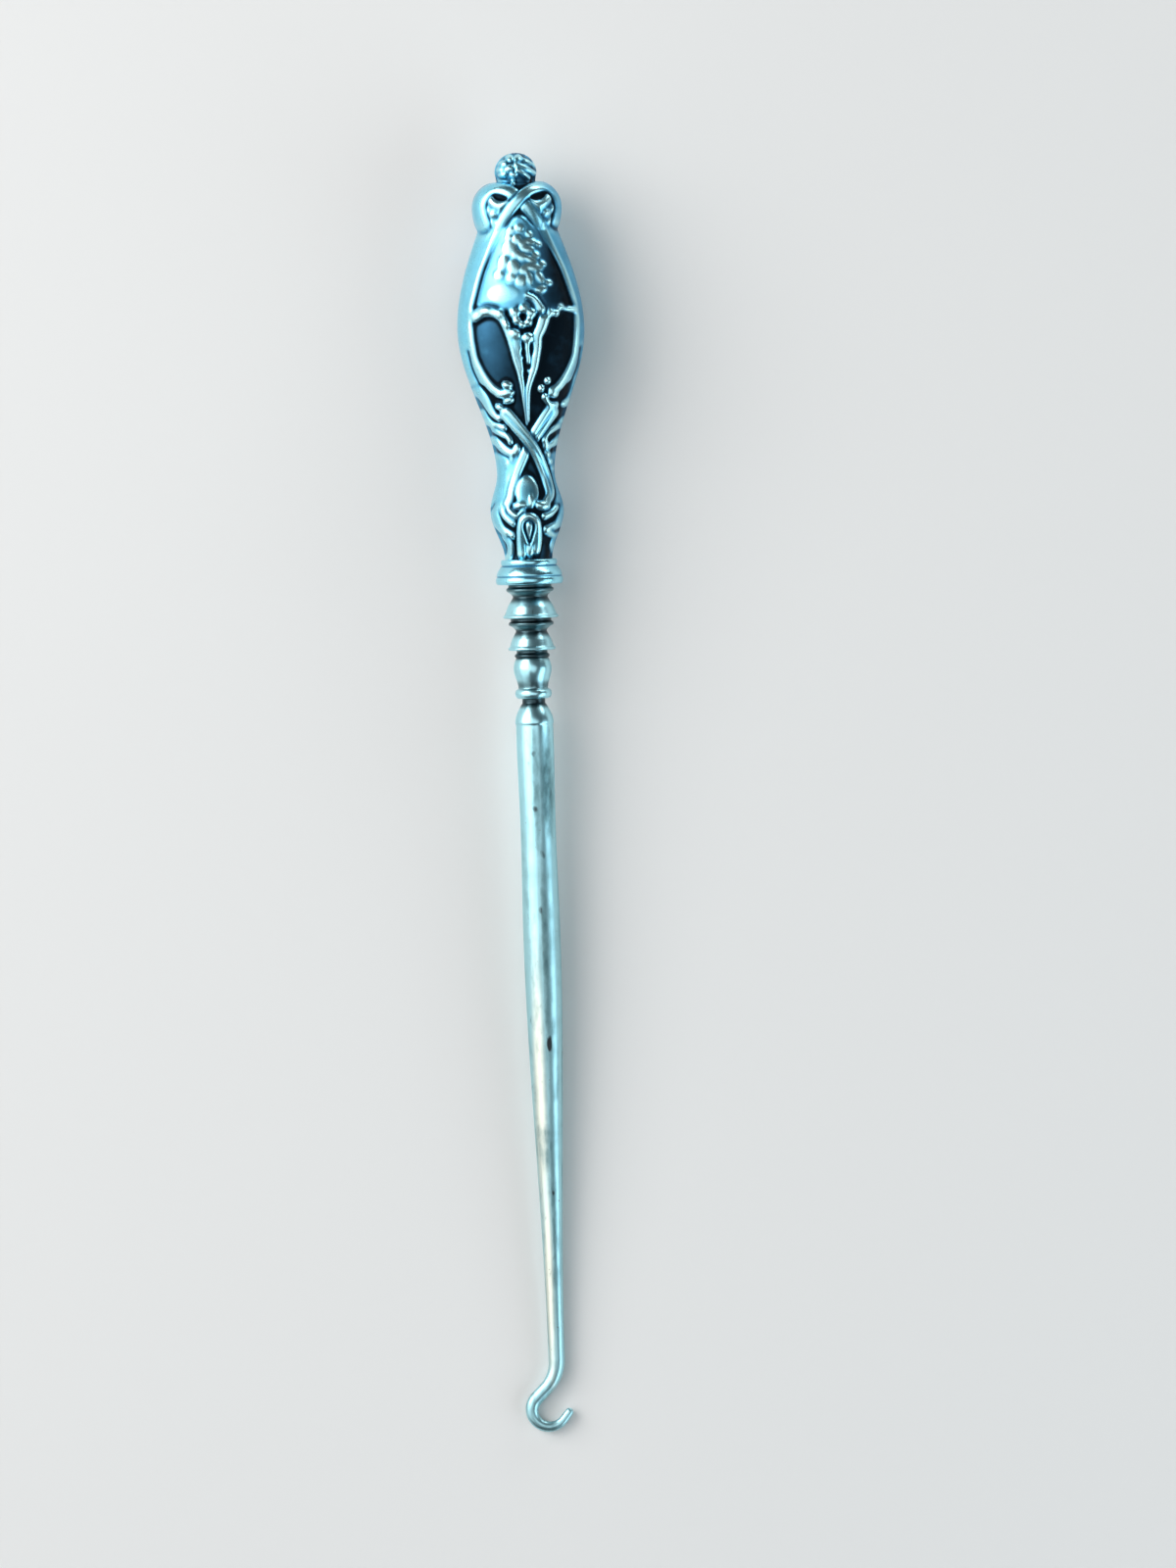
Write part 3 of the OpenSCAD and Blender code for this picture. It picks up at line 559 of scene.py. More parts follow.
def finer_rows(grid):
    last = len(grid) - 1
    place = np.clip((np.arange(len(grid) * FINER) + 0.5) / FINER - 0.5, 0, last)
    i = np.minimum(place.astype(int), last - 1)
    return mix(grid[i], grid[i + 1], (place - i)[:, None])


def finer(grid):
    return finer_rows(finer_rows(grid).T).T


def coarser(grid):
    rows, columns = grid.shape
    return grid.reshape(rows // FINER, FINER, columns // FINER, FINER).mean((1, 3))


# Passes of blurring
RELIEF_BLUR = 4
PLAIN_BLUR = 6
RISE_BLUR = 120
EGG_BLUR = 3
AROUND_BLUR = 40
# Depth under the surroundings that is quite tarnished, and height over them that is rubbed bright and painted
# paler still as a highlight
TARNISH_DEPTH = 0.16
RUB_AND_HIGHLIGHT_HEIGHT = 0.11
# How dark low ground and hollows are, and the height at which ground begins to count as low
LOW_DARK = 0.75
HOLLOW_DARK = 0.8
LOW_FROM = -0.14
# Shares of a lump's rise over which the spray is painted pale as a highlight, and heights over which the egg
# is bare
SPRAY_PAINTED_HIGHLIGHT = (0.3, 0.8)
EGG_BARE = (0.08, 0.02)
# Places across the front over which kidneys and egg go from their left to their right darkness, which is
# painted shade
KIDNEY_SHADE = (-8, 2)
EGG_SHADE = (1.5, 5.0)


def draw_relief(die):
    draw_fields(die)
    draw_egg_spray(die)
    draw_arms(die)
    draw_rosette(die)
    draw_scrolls(die)
    draw_waist(die)
    draw_foot(die)
    draw_husk(die)
    draw_shoulders(die)
    draw_finial(die)


# Heights of the relief, how dark tarnish and painted shade lie, and how far it is rubbed and painted pale as
# a highlight
def struck_relief(x, z):
    die = Die(finer(x) - PATTERN_SHIFT, finer(z) - FERRULE_TOP)
    draw_relief(die)
    h = blurred(coarser(np.maximum(die.h, LOWEST)), RELIEF_BLUR)
    plain = blurred((h < KIDNEY_GROUND + 0.01).astype(float), PLAIN_BLUR)
    bare_egg = blurred(coarser(smooth(*EGG_BARE, die.h - die.bare_egg)), EGG_BLUR)
    around = blurred(h, AROUND_BLUR)
    low = smooth(LOW_FROM, GROUND, h)
    hollow = np.clip((around - h) / TARNISH_DEPTH, 0, 1)
    # Kidney panels and bare egg: tarnish and painted dark reflection, with painted shade growing to the right
    kidney = mix(*KIDNEY_TARNISH_AND_SHADE, smooth(*KIDNEY_SHADE, x))
    shaded_bare_egg = mix(*EGG_TARNISH_AND_SHADE, smooth(*EGG_SHADE, x)) * bare_egg
    tarnish_and_shade = np.maximum(mix(LOW_DARK * low + HOLLOW_DARK * hollow, kidney, plain), shaded_bare_egg)
    # Crests rubbed bright and spray lumps painted pale: wear with painted highlight
    spray_highlight = smooth(*SPRAY_PAINTED_HIGHLIGHT, coarser(die.bumps) / SPRAY_RISE)
    rub_and_highlight = np.maximum(np.clip((h - around) / RUB_AND_HIGHLIGHT_HEIGHT, 0, 1), spray_highlight) * (1 - bare_egg)
    h = h + KIDNEY_RISE * blurred(plain, RISE_BLUR)
    return h, np.clip(tarnish_and_shade, 0, 1), rub_and_highlight


def placed(name, data):
    item = bpy.data.objects.new(name, data)
    bpy.context.scene.collection.objects.link(item)
    return item


# Smooth mesh from points in millimetres, with a value for each point in every layer
def new_object(name, points, faces, layers, material):
    mesh = bpy.data.meshes.new(name)
    mesh.from_pydata(laid(points).tolist(), [], faces)
    mesh.polygons.foreach_set("use_smooth", [True] * len(mesh.polygons))
    for key, values in layers.items():
        layer = mesh.attributes.new(key, "FLOAT", "POINT")
        layer.data.foreach_set("value", np.asarray(values, np.float32))
    mesh.materials.append(material)
    mesh.update()
    return placed(name, mesh)


# Faces of a grid of rows that closes in one last point; outward or inward
def dome_faces(rows, columns, start, outward):
    row = columns + 1
    tip = start + rows * row
    faces = []
    for i in range(rows - 1):
        a = start + i * row
        faces += [(a + j, a + j + 1, a + j + 1 + row, a + j + row) for j in range(columns)]
    a = start + (rows - 1) * row
    faces += [(a + j, a + j + 1, tip) for j in range(columns)]
    return faces if outward else [f[::-1] for f in faces]


# Edge of such a grid, up the left side, over the tip, down the right side and back along the mouth
def dome_rim(rows, columns, start):
    row = columns + 1
    left = [start + i * row for i in range(rows)]
    right = [start + i * row + columns for i in reversed(range(rows))]
    mouth = [start + j for j in reversed(range(1, columns))]
    return left + [start + rows * row] + right + mouth


# Strip of triangles between a fine rim and a coarse one
def rim_faces(fine, coarse):
    faces = []
    for k, a in enumerate(coarse):
        b = coarse[(k + 1) % len(coarse)]
        run = [fine[(k * COARSE + j) % len(fine)] for j in range(COARSE + 1)]
        half = COARSE // 2
        faces += [(run[j + 1], run[j], a) for j in range(half)]
        faces.append((run[half], a, b))
        faces += [(run[j + 1], run[j], b) for j in range(half, COARSE)]
    return faces


# Angles from the middle of the front: the seam, and where relief and tarnish are full
SEAM = math.radians(90)
RELIEF_FULL = math.radians(78)
TARNISH_FULL = math.radians(50)
# Share of the tarnish that is left at the seam, and the angles over which painted shade darkens the right
# side
SEAM_TARNISH = 0.4
SIDE_SHADE_TURN = (math.radians(25), math.radians(65))
# Heights over which the relief fades at the ferrule and at the top
FERRULE_FADE = 0.4
TOP_FADE = 0.5


# Angle of each column round the front, from seam to seam
def column_angles():
    across = np.linspace(-1, 1, COLUMNS + 1)
    return (across * (1 - CROWDING) + across**3 * CROWDING) * math.pi / 2


# Outside of the struck sheet: points in rows, tarnish with painted shade, and rub with painted highlight
def sheet_outside(rows, angle):
    z = np.repeat(rows[:, :1], COLUMNS + 1, axis=1)
    x = rows[:, 1:2] * np.sin(angle)
    y = -rows[:, 2:3] * np.cos(angle)
    base = np.stack([x, y, z], axis=2)
    normal = np.cross(np.gradient(base, axis=1), np.gradient(base, axis=0))
    normal /= np.maximum(np.linalg.norm(normal, axis=2, keepdims=True), 1e-9)
    h, tarnish_and_shade, rub_and_highlight = struck_relief(x, z)
    seam = smooth(SEAM, RELIEF_FULL, np.abs(angle))
    covered = smooth(FERRULE_TOP - FERRULE_FADE, FERRULE_TOP + FERRULE_FADE, z)
    h = h * seam * covered * smooth(TOOL_TOP, TOOL_TOP - TOP_FADE, z)
    sheltered = smooth(SEAM, TARNISH_FULL, np.abs(angle))
    # The right side of the handle is darkened by painted shade added to the tarnish
    painted_side_shade = SIDE_PAINTED_SHADE * smooth(*SIDE_SHADE_TURN, angle)
    tarnish_and_shade = np.minimum(tarnish_and_shade * mix(SEAM_TARNISH, 1, sheltered) + painted_side_shade, 1)
    outer = base + normal * h[:, :, None]
    outer[:, :, 1] = np.minimum(outer[:, :, 1], -SOLDER_HALF)
    return outer, tarnish_and_shade, rub_and_highlight * seam


# Inside of the sheet in fewer rows and columns, closing in a cone under the finial
def sheet_inside(rows, angle):
    z = rows[::COARSE, 0]
    squeeze = (HOLLOW_TOP - HOLLOW_SHOULDER) / (TOOL_TOP - HOLLOW_SHOULDER)
    z = z - np.maximum(z - HOLLOW_SHOULDER, 0) * (1 - squeeze)
    cone = (HOLLOW_TOP - z) * HOLLOW_SLOPE
    wide = np.minimum(np.interp(z, rows[:, 0], rows[:, 1]) - SHEET_INSIDE, cone)[:, None]
    deep = np.minimum(np.interp(z, rows[:, 0], rows[:, 2]) - SHEET_INSIDE, cone)[:, None]
    angle = angle[::COARSE]
    x = wide * np.sin(angle)
    y = np.minimum(-deep * np.cos(angle), -SOLDER_HALF)
    return np.stack([x, y, np.repeat(z[:, None], len(angle), axis=1)], axis=2)


# Points, faces, and weathering with painted shade and painted highlight, of one struck half
def half_shell_mesh():
    rows = outline_rows()
    angle = column_angles()
    outer, tarnish_and_shade, rub_and_highlight = sheet_outside(rows, angle)
    inner = sheet_inside(rows, angle)
    top = [[0, -SOLDER_HALF, TOOL_TOP]]
    tip = [[0, -SOLDER_HALF, HOLLOW_TOP]]
    points = np.vstack([outer.reshape(-1, 3), top, inner.reshape(-1, 3), tip])
    start = tarnish_and_shade.size + 1
    unseen = len(points) - start
    layers = {
        "tarnish_and_shade": np.concatenate([tarnish_and_shade.ravel(), [0], np.ones(unseen)]),
        "rub_and_highlight": np.concatenate([rub_and_highlight.ravel(), [0], np.zeros(unseen)]),
    }
    inner_columns = COLUMNS // COARSE
    faces = dome_faces(len(rows), COLUMNS, 0, True)
    faces += dome_faces(len(inner), inner_columns, start, False)
    faces += rim_faces(dome_rim(len(rows), COLUMNS, 0), dome_rim(len(inner), inner_columns, start))
    return points, faces, layers


def settle(piece, slot, *nodes):
    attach(piece, "root")
    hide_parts(*nodes)


def make_shells(material):
    points, faces, layers = half_shell_mesh()
    turned = points * [-1, -1, 1]
    for node, shape in (("handle_front_shell", points), ("handle_back_shell", turned)):
        shell = new_object("struck_" + node, shape, faces, layers, material)
        settle(shell, "stamped_silver", node)


# Turned profiles, as points of radius and height
def run(r0, z0, r1, z1, kind, steps=14):
    t = np.arange(steps + 1) / steps
    return np.column_stack([mix(r0, r1, eased(kind, t)), mix(z0, z1, t)])


def half_round(r, depth, z, height, steps=14):
    a = np.arange(steps + 1) * math.pi / steps
    return np.column_stack([r + depth * np.sin(a), z - height * (1 - np.cos(a)) / 2])


# The profile at even steps, with its edges worn round over a given length
def worn(profile, step, wear):
    p = np.vstack(profile)
    keep = np.concatenate([[True], np.linalg.norm(np.diff(p, axis=0), axis=1) > 1e-4])
    p = p[keep]
    along = np.concatenate([[0], np.cumsum(np.linalg.norm(np.diff(p, axis=0), axis=1))])
    even = np.linspace(0, along[-1], int(along[-1] / step) + 1)
    p = np.column_stack([np.interp(even, along, p[:, k]) for k in (0, 1)])
    return softened(p, int((wear / step) ** 2 * 2))


RING_H = 0.7
RING_GAP = 0.5
COVE_H = 0.8
FLANGE_RIM = 0.5
# Where a bell turns from its cone to its flare: shares of its height and of its spread
BELL_TURN = 0.5
BELL_SPREAD = 0.6


# Undercut and fillet ring below z
def fillet_ring(d, z):
    r = d / 2 - RING_H / 2
    return [[[r, z]], half_round(r, RING_H / 2, z - RING_GAP, RING_H)]


# Cove and bell from a fillet ring down to the underside of a flange
def bell(ring_d, neck_d, rim_d, z, height):
    neck = neck_d / 2
    rim = rim_d / 2 - FLANGE_RIM / 2
    bend_r = mix(neck, rim, BELL_SPREAD)
    bend_z = z - height * BELL_TURN
    return [
        run(ring_d / 2 - RING_H / 2, z + COVE_H, neck, z, "rise"),
        run(neck, z, bend_r, bend_z, "line"),
        run(bend_r, bend_z, rim, z - height, "line"),
        half_round(rim, FLANGE_RIM / 2, z - height, FLANGE_RIM),
    ]


SPIGOT_R = 2.3
# Diameters of the three fillet rings, from the ferrule down
NECK_RING = 7.3
UPPER_RING = 6.9
LOWER_RING = 5.4
# Heights down the bolster
UPPER_BELL = -2.0
UPPER_UNDER = -5.2
LOWER_BELL = -7.2
LOWER_UNDER = -10.1
VASE_TOP = -11.3
VASE_BELLY = -12.95
VASE_FOOT = -16.0
DISC_FOOT = -17.5
CAP_TOP = -18.3
CAP_FOOT = -21.3
# Radii of the vase, of the groove above the cap and of the shank's head and waist
VASE_R = 2.9
VASE_FOOT_R = 2.25
GROOVE_R = 1.75
SHANK_R = 2.85
SHANK_WAIST_R = 2.7
# Heights down the shank
SHANK_TOP = -24.0
SHANK_WAIST = -37.8
TAPER_TOP = -54.3
SHANK_END = -119.1
# Length of a step along each profile, and the length over which its edges are worn round
BOLSTER_WEAR = (0.12, 0.1)
SHANK_WEAR = (0.25, 0.4)
FERRULE_WEAR = (0.1, 0.06)


def bolster_profile():
    return worn(
        [[[SPIGOT_R, MOUTH], [SPIGOT_R, 0]]]
        + fillet_ring(NECK_RING, 0) + bell(NECK_RING, 5.3, 8.5, UPPER_BELL, 2.7)
        + fillet_ring(UPPER_RING, UPPER_UNDER) + bell(UPPER_RING, 4.7, 7.3, LOWER_BELL, 2.4)
        + fillet_ring(LOWER_RING, LOWER_UNDER)
        + [run(2.5, VASE_TOP, VASE_R, VASE_BELLY, "rise"),
           run(VASE_R, VASE_BELLY, VASE_FOOT_R, VASE_FOOT, "ogee"),
           half_round(VASE_FOOT_R, 0.55, VASE_FOOT, 1.5),
           run(GROOVE_R, DISC_FOOT, GROOVE_R, CAP_TOP, "line"),
           run(1.85, CAP_TOP, 2.95, CAP_FOOT, "rise"),
           [[2.84, CAP_FOOT - 0.15], [SHANK_R, SHANK_TOP]]],
        *BOLSTER_WEAR)


def shank_profile():
    return worn(
        [run(SHANK_R, SHANK_TOP, SHANK_WAIST_R, SHANK_WAIST, "ogee"),
         run(SHANK_WAIST_R, SHANK_WAIST, SHANK_R, TAPER_TOP, "ogee"),
         run(SHANK_R, TAPER_TOP, WIRE_RADII[0], SHANK_END, "ogee", 40)],
        *SHANK_WEAR)[1:]


# The hook: a slight bend, a straight run and a curl that opens a little towards its straight tip
BEND_ANGLE = math.radians(42)
BEND_R = 6.0
CURL_MIDDLE = (-1.45, -126.56)
CURL_RADII = (2.5, 2.8)
CURL_END = math.radians(322)
TIP_LENGTH = 1.5
# Half width and half depth of the wire at the end of the shank, the start of the curl and the tip
WIRE_RADII = (1.25, 1.06, 0.62)
WIRE_DEPTHS = (1.25, 0.95, 0.55)
# Share of the thinning to the tip that is done where the curl ends
CURL_THINNING = 0.85
BEND_STEPS = 24
CURL_STEPS = 64
TIP_STEPS = 12


# Rows of x, z, half width and half depth, from one of the wire's sizes to the next
def wire(places, size, share):
    half_width = mix(WIRE_RADII[size], WIRE_RADII[size + 1], share)
    half_depth = mix(WIRE_DEPTHS[size], WIRE_DEPTHS[size + 1], share)
    return np.column_stack([places, half_width, half_depth])


# Line of the hook from the end of the shank to its tip
def hook_line():
    t = np.linspace(0, 1, BEND_STEPS)[1:]
    a = BEND_ANGLE * t
    bend = wire(np.column_stack([-BEND_R * (1 - np.cos(a)), SHANK_END - BEND_R * np.sin(a)]), 0, t)
    t = np.linspace(0, 1, CURL_STEPS)
    a = mix(math.pi - BEND_ANGLE, CURL_END, t)
    r = mix(*CURL_RADII, t)
    round_middle = np.column_stack([CURL_MIDDLE[0] + r * np.cos(a), CURL_MIDDLE[1] + r * np.sin(a)])
    curl = wire(round_middle, 1, t * CURL_THINNING)
    way = np.array([-math.sin(CURL_END), math.cos(CURL_END)])
    t = np.linspace(0, 1, TIP_STEPS)[1:]
    straight = wire(curl[-1, :2] + TIP_LENGTH * t[:, None] * way, 1, mix(CURL_THINNING, 1, t))
    a = np.radians(np.arange(10, 90, 10))
    end = np.column_stack([straight[-1, :2] + WIRE_RADII[2] * np.sin(a)[:, None] * way,
                           WIRE_RADII[2] * np.cos(a), WIRE_DEPTHS[2] * np.cos(a)])
    return np.vstack([bend, curl, straight, end])


STEEL_SIDES = 112
# Widths of the square tang at its root and at its tip, its length and its rings
TANG_WIDTHS = (3.0, 1.6)
TANG_LENGTH = 38.0
TANG_RINGS = 12


# Angles of the points round a turned piece
def turns(sides):
    return np.arange(sides) * 2 * math.pi / sides


# Ring of points at one height
def level_ring(turn, r, z):
    return np.column_stack([r * np.cos(turn), r * np.sin(turn), np.full(len(turn), z)])


# Rings of the steel from the tip of the tang to the tip of the hook
def steel_rings():
    turn = turns(STEEL_SIDES)
    square = np.maximum(np.abs(np.cos(turn)), np.abs(np.sin(turn)))
    rings = []
    for t in np.linspace(1, 0, TANG_RINGS):
        rings.append(level_ring(turn, mix(*TANG_WIDTHS, t) / 2 / square, MOUTH + TANG_LENGTH * t))
    for r, z in np.vstack([bolster_profile(), shank_profile()]):
        rings.append(level_ring(turn, r, z))
    line = hook_line()
    way = np.gradient(line[:, :2], axis=0)
    way /= np.linalg.norm(way, axis=1, keepdims=True)
    for (x, z, width, depth), (wx, wz) in zip(line, way):
        across = width * np.cos(turn)
        rings.append(np.column_stack([x - wz * across, depth * np.sin(turn), z + wx * across]))
    return rings


# Faces between two rings that start at points a and b
def between_rings(sides, a, b):
    return [(a + j, b + j, b + (j + 1) % sides, a + (j + 1) % sides) for j in range(sides)]


# Faces of a row of rings, closed at both ends
def skin_faces(count, sides):
    faces = []
    for i in range(count - 1):
        faces += between_rings(sides, i * sides, (i + 1) * sides)
    faces.append(tuple(range(sides)))
    faces.append(tuple(reversed(range((count - 1) * sides, count * sides))))
    return faces


# Stains on the front of the steel: x, height, length, width and darkness
STAINS = [(-0.25, -25.9, 1.4, 1.0, 0.5), (-0.3, -34.3, 1.4, 1.1, 0.7), (0.5, -41.5, 2.4, 1.1, 0.5),
          (-0.1, -49.8, 1.8, 0.9, 0.5), (0.6, -70.3, 3.0, 1.0, 0.9), (0.4, -93.2, 1.0, 0.6, 0.6)]
# Long dull streaks, in the same terms
DULL_STREAKS = [(-0.1, -32.0, 26.0, 1.4, 0.6), (1.6, -31.0, 20.0, 2.4, 0.9), (0.45, -55.0, 40.0, 1.3, 0.7),
                (-1.3, -62.0, 30.0, 1.2, 0.35), (0.3, -92.0, 36.0, 0.8, 0.6)]
# Warm streaks down the front-left of the shank: a painted reflection of warm surroundings, in the same terms
WARM_REFLECTION_STREAKS = [(-1.1, -78.0, 52.0, 2.2, 0.8), (-0.7, -106.0, 40.0, 1.6, 0.8)]
# Shares of a patch's half size over which it fades out
PATCH_FADE = (0.3, 1.2)
# Heights over which the steel turns cool towards the handle, and satin towards the hook
COOL_FADE = (-60, -20)
SATIN_FADE = (-20, -26)
# Undersides of ferrule and flanges, how far below them painted shade reaches and how far it is full
SHADED_UNDERSIDES = (0.0, UPPER_UNDER, LOWER_UNDER)
UNDER_SHADE_DEPTH = 1.7
UNDER_SHADE_FULL = 0.6
# How dark grime and painted shade are, how far off a ring's neighbours lie, and the depth at which it is full
GRIME_AND_SHADE_DARK = 0.95
GRIME_AND_SHADE_REACH = 1.3
GRIME_AND_SHADE_DEPTH = 0.6
GRIME_AND_SHADE_PASSES = 7


# Grime and painted shade in the necks and grooves of the bolster, from how far each ring lies within its
# neighbours, and painted shade under the ferrule and flanges
def steel_grime_and_shade(rings):
    r = np.array([np.hypot(ring[:, 0], ring[:, 1]).max() for ring in rings])
    z = np.array([ring[:, 2].mean() for ring in rings])
    near = [np.interp([a - GRIME_AND_SHADE_REACH, a + GRIME_AND_SHADE_REACH], z[::-1], r[::-1]).mean() for a in z]
    grime_and_shade = GRIME_AND_SHADE_DARK * smooth(0.0, GRIME_AND_SHADE_DEPTH, np.array(near) - r)
    for top in SHADED_UNDERSIDES:
        under_shade = GRIME_AND_SHADE_DARK * (z <= top) * smooth(top - UNDER_SHADE_DEPTH, top - UNDER_SHADE_FULL, z)
        grime_and_shade = np.maximum(grime_and_shade, under_shade)
    grime_and_shade = np.where((z < 0) & (z > CAP_FOOT + 1), grime_and_shade, 0)
    return softened(grime_and_shade, GRIME_AND_SHADE_PASSES)


def front_patches(points, patches):
    dark = np.zeros(len(points))
    for x, z, length, width, strength in patches:
        r = np.hypot((points[:, 0] - x) / width * 2, (points[:, 2] - z) / length * 2)
        dark = np.maximum(dark, np.where(points[:, 1] < 0, strength * (1 - smooth(*PATCH_FADE, r)), 0))
    return dark


def make_steel(material):
    rings = steel_rings()
    points = np.vstack(rings)
    layers = {
        "grime_and_shade": np.repeat(steel_grime_and_shade(rings), STEEL_SIDES),
        "stain": front_patches(points, STAINS),
        "dull": front_patches(points, DULL_STREAKS),
        "warm_reflection": front_patches(points, WARM_REFLECTION_STREAKS),
        "cool": smooth(*COOL_FADE, points[:, 2]),
        "satin": smooth(*SATIN_FADE, points[:, 2]),
    }
    faces = skin_faces(len(rings), STEEL_SIDES)
    steel = new_object("steel_forging", points, faces, layers, material)
    settle(steel, "worn_steel", "steel_shank", "hook_end")


FERRULE_SIDES = 128
BORE_R = 2.35
SOCKET_R = 3.65
# Heights, darkness and width of the tarnished lines between its mouldings
FERRULE_LINES = (2.78, 1.22)
LINE_DARK = 0.45
LINE_WIDTH = 0.12
FERRULE_RUB = 0.45


def ferrule_profile():
    outside = worn(
        [half_round(4.05, 0.25, FERRULE_TOP, 1.0), run(4.3, 2.75, 5.0, 1.3, "rise"),
         half_round(4.85, 0.3, 1.2, 1.2)],
        *FERRULE_WEAR)
    inside = [[BORE_R, 0], [BORE_R, MOUTH], [SOCKET_R, MOUTH], [SOCKET_R, FERRULE_TOP]]
    return np.vstack([inside, outside])


def make_ferrule(material):
    profile = ferrule_profile()
    turn = turns(FERRULE_SIDES)
    points = np.vstack([level_ring(turn, r, z) for r, z in profile])
    count = len(profile)
    faces = []
    for i in range(count):
        faces += between_rings(FERRULE_SIDES, i * FERRULE_SIDES, (i + 1) % count * FERRULE_SIDES)
    z = profile[:, 1]
    groove = sum(LINE_DARK * np.exp(-(((z - line) / LINE_WIDTH) ** 2)) for line in FERRULE_LINES)
    layers = {
        "tarnish_and_shade": np.repeat(groove, FERRULE_SIDES),
        "rub_and_highlight": np.repeat(FERRULE_RUB - groove, FERRULE_SIDES),
    }
    ferrule = new_object("turned_ferrule", points, faces, layers, material)
    settle(ferrule, "turned_silver", "mouth_ferrule")


# A material with short calls for the kinds of node used here
class Nodes:
    def __init__(self, name):
        self.material = bpy.data.materials.new(name)
        self.material.use_nodes = True
        self.tree = self.material.node_tree
        self.shader = self.tree.nodes["Principled BSDF"]

    def add(self, kind, **values):
        node = self.tree.nodes.new(kind)
        for key, value in values.items():
            setattr(node, key, value)
        return node

    def link(self, source, target):
        self.tree.links.new(source, target)

    def attribute(self, name):
        return self.add("ShaderNodeAttribute", attribute_name=name).outputs["Fac"]

    # Noise over the object's own coordinates, with a scale for each direction in 1/m
    def noise(self, scale, detail=4.0, stretch=(1, 1, 1)):
        place = self.add("ShaderNodeTexCoord")
        mapping = self.add("ShaderNodeMapping")
        mapping.inputs["Scale"].default_value = stretch
        texture = self.add("ShaderNodeTexNoise")
        texture.inputs["Scale"].default_value = scale
        texture.inputs["Detail"].default_value = detail
        self.link(place.outputs["Object"], mapping.inputs["Vector"])
        self.link(mapping.outputs["Vector"], texture.inputs["Vector"])
        return texture.outputs["Fac"]

    # A number or a colour is set on a socket, and an output is linked to it
    def feed(self, socket, value):
        if isinstance(value, tuple):
            socket.default_value = (*value, 1)
        elif isinstance(value, (int, float)):
            socket.default_value = value
        else:
            self.link(value, socket)

    def math(self, operation, a, b, clamp=False):
        node = self.add("ShaderNodeMath", operation=operation, use_clamp=clamp)
        self.feed(node.inputs[0], a)
        self.feed(node.inputs[1], b)
        return node.outputs[0]

    def ramp(self, source, stops):
        node = self.add("ShaderNodeValToRGB")
        elements = node.color_ramp.elements
        while len(elements) < len(stops):
            elements.new(0.5)
        for element, (place, colour) in zip(elements, stops):
            element.position = place
            element.color = (*colour, 1)
        self.link(source, node.inputs["Fac"])
        return node.outputs["Color"]

    def span(self, source, low, high, to_low, to_high):
        node = self.add("ShaderNodeMapRange")
        for socket, value in zip(list(node.inputs)[1:5], (low, high, to_low, to_high)):
            socket.default_value = value
        self.link(source, node.inputs[0])
        return node.outputs[0]

    def blend(self, share, a, b):
        node = self.add("ShaderNodeMix", data_type="RGBA")
        self.link(share, node.inputs["Factor"])
        self.feed(node.inputs[6], a)
        self.feed(node.inputs[7], b)
        return node.outputs[2]

    def bump(self, height, strength, distance):
        node = self.add("ShaderNodeBump")
        node.inputs["Strength"].default_value = strength
        node.inputs["Distance"].default_value = distance
        self.link(height, node.inputs["Height"])
        self.link(node.outputs["Normal"], self.shader.inputs["Normal"])

    def finish(self, colour, roughness, metallic):
        self.feed(self.shader.inputs["Base Color"], colour)
        self.feed(self.shader.inputs["Roughness"], roughness)
        self.feed(self.shader.inputs["Metallic"], metallic)
        return self.material


SILVER_STOPS = [(0.0, (0.26, 0.74, 0.93)), (0.3, (0.12, 0.44, 0.66)), (0.6, (0.03, 0.11, 0.19)),
                (1.0, (0.005, 0.011, 0.017))]
# Pale colour of rubbed crests, paler than clean silver: wear with painted highlight
SILVER_RUB_AND_HIGHLIGHT = (0.50, 0.90, 0.97)
# Roughness of clean silver on the shells and on the ferrule, and of tarnish
SHELL_POLISH = 0.25
FERRULE_POLISH = 0.22
TARNISH_ROUGHNESS = 0.55


def silver_material(name, polish):
    n = Nodes(name)
    cloud = n.noise(420, 5)
    fine = n.noise(3000, 3)
    uneven = n.math("MULTIPLY", n.math("SUBTRACT", cloud, 0.5), 0.25)
    # Tarnish with painted shade from the attribute, made uneven by noise
    tarnish_and_shade = n.math("ADD", n.attribute("tarnish_and_shade"), uneven, True)
    # Rubbed crests and spray lumps turn paler than clean silver: painted highlight
    colour = n.blend(n.attribute("rub_and_highlight"), n.ramp(tarnish_and_shade, SILVER_STOPS), SILVER_RUB_AND_HIGHLIGHT)
    rough = n.span(tarnish_and_shade, 0, 1, polish, TARNISH_ROUGHNESS)
    roughness = n.math("ADD", rough, n.math("MULTIPLY", fine, 0.06))
    n.bump(fine, 0.08, 0.00005)
    return n.finish(colour, roughness, 1.0)


STEEL_COOL = (0.46, 0.84, 0.92)
STEEL_PALE = (0.42, 0.72, 0.77)
# Warm colour of a painted reflection on the lower shank
STEEL_WARM_REFLECTION = (0.82, 0.78, 0.64)
STEEL_GREY = (0.11, 0.22, 0.24)
STEEL_STAIN = (0.05, 0.06, 0.065)
# Near-black for grime and painted shade in the necks and under the flanges
STEEL_GRIME_AND_SHADE = (0.012, 0.018, 0.024)
STEEL_RUST = (0.20, 0.11, 0.06)
# Roughness of bright and of dull steel, and what satin adds to it
STEEL_ROUGHNESS = (0.28, 0.42)
SATIN_ROUGHNESS = 0.08


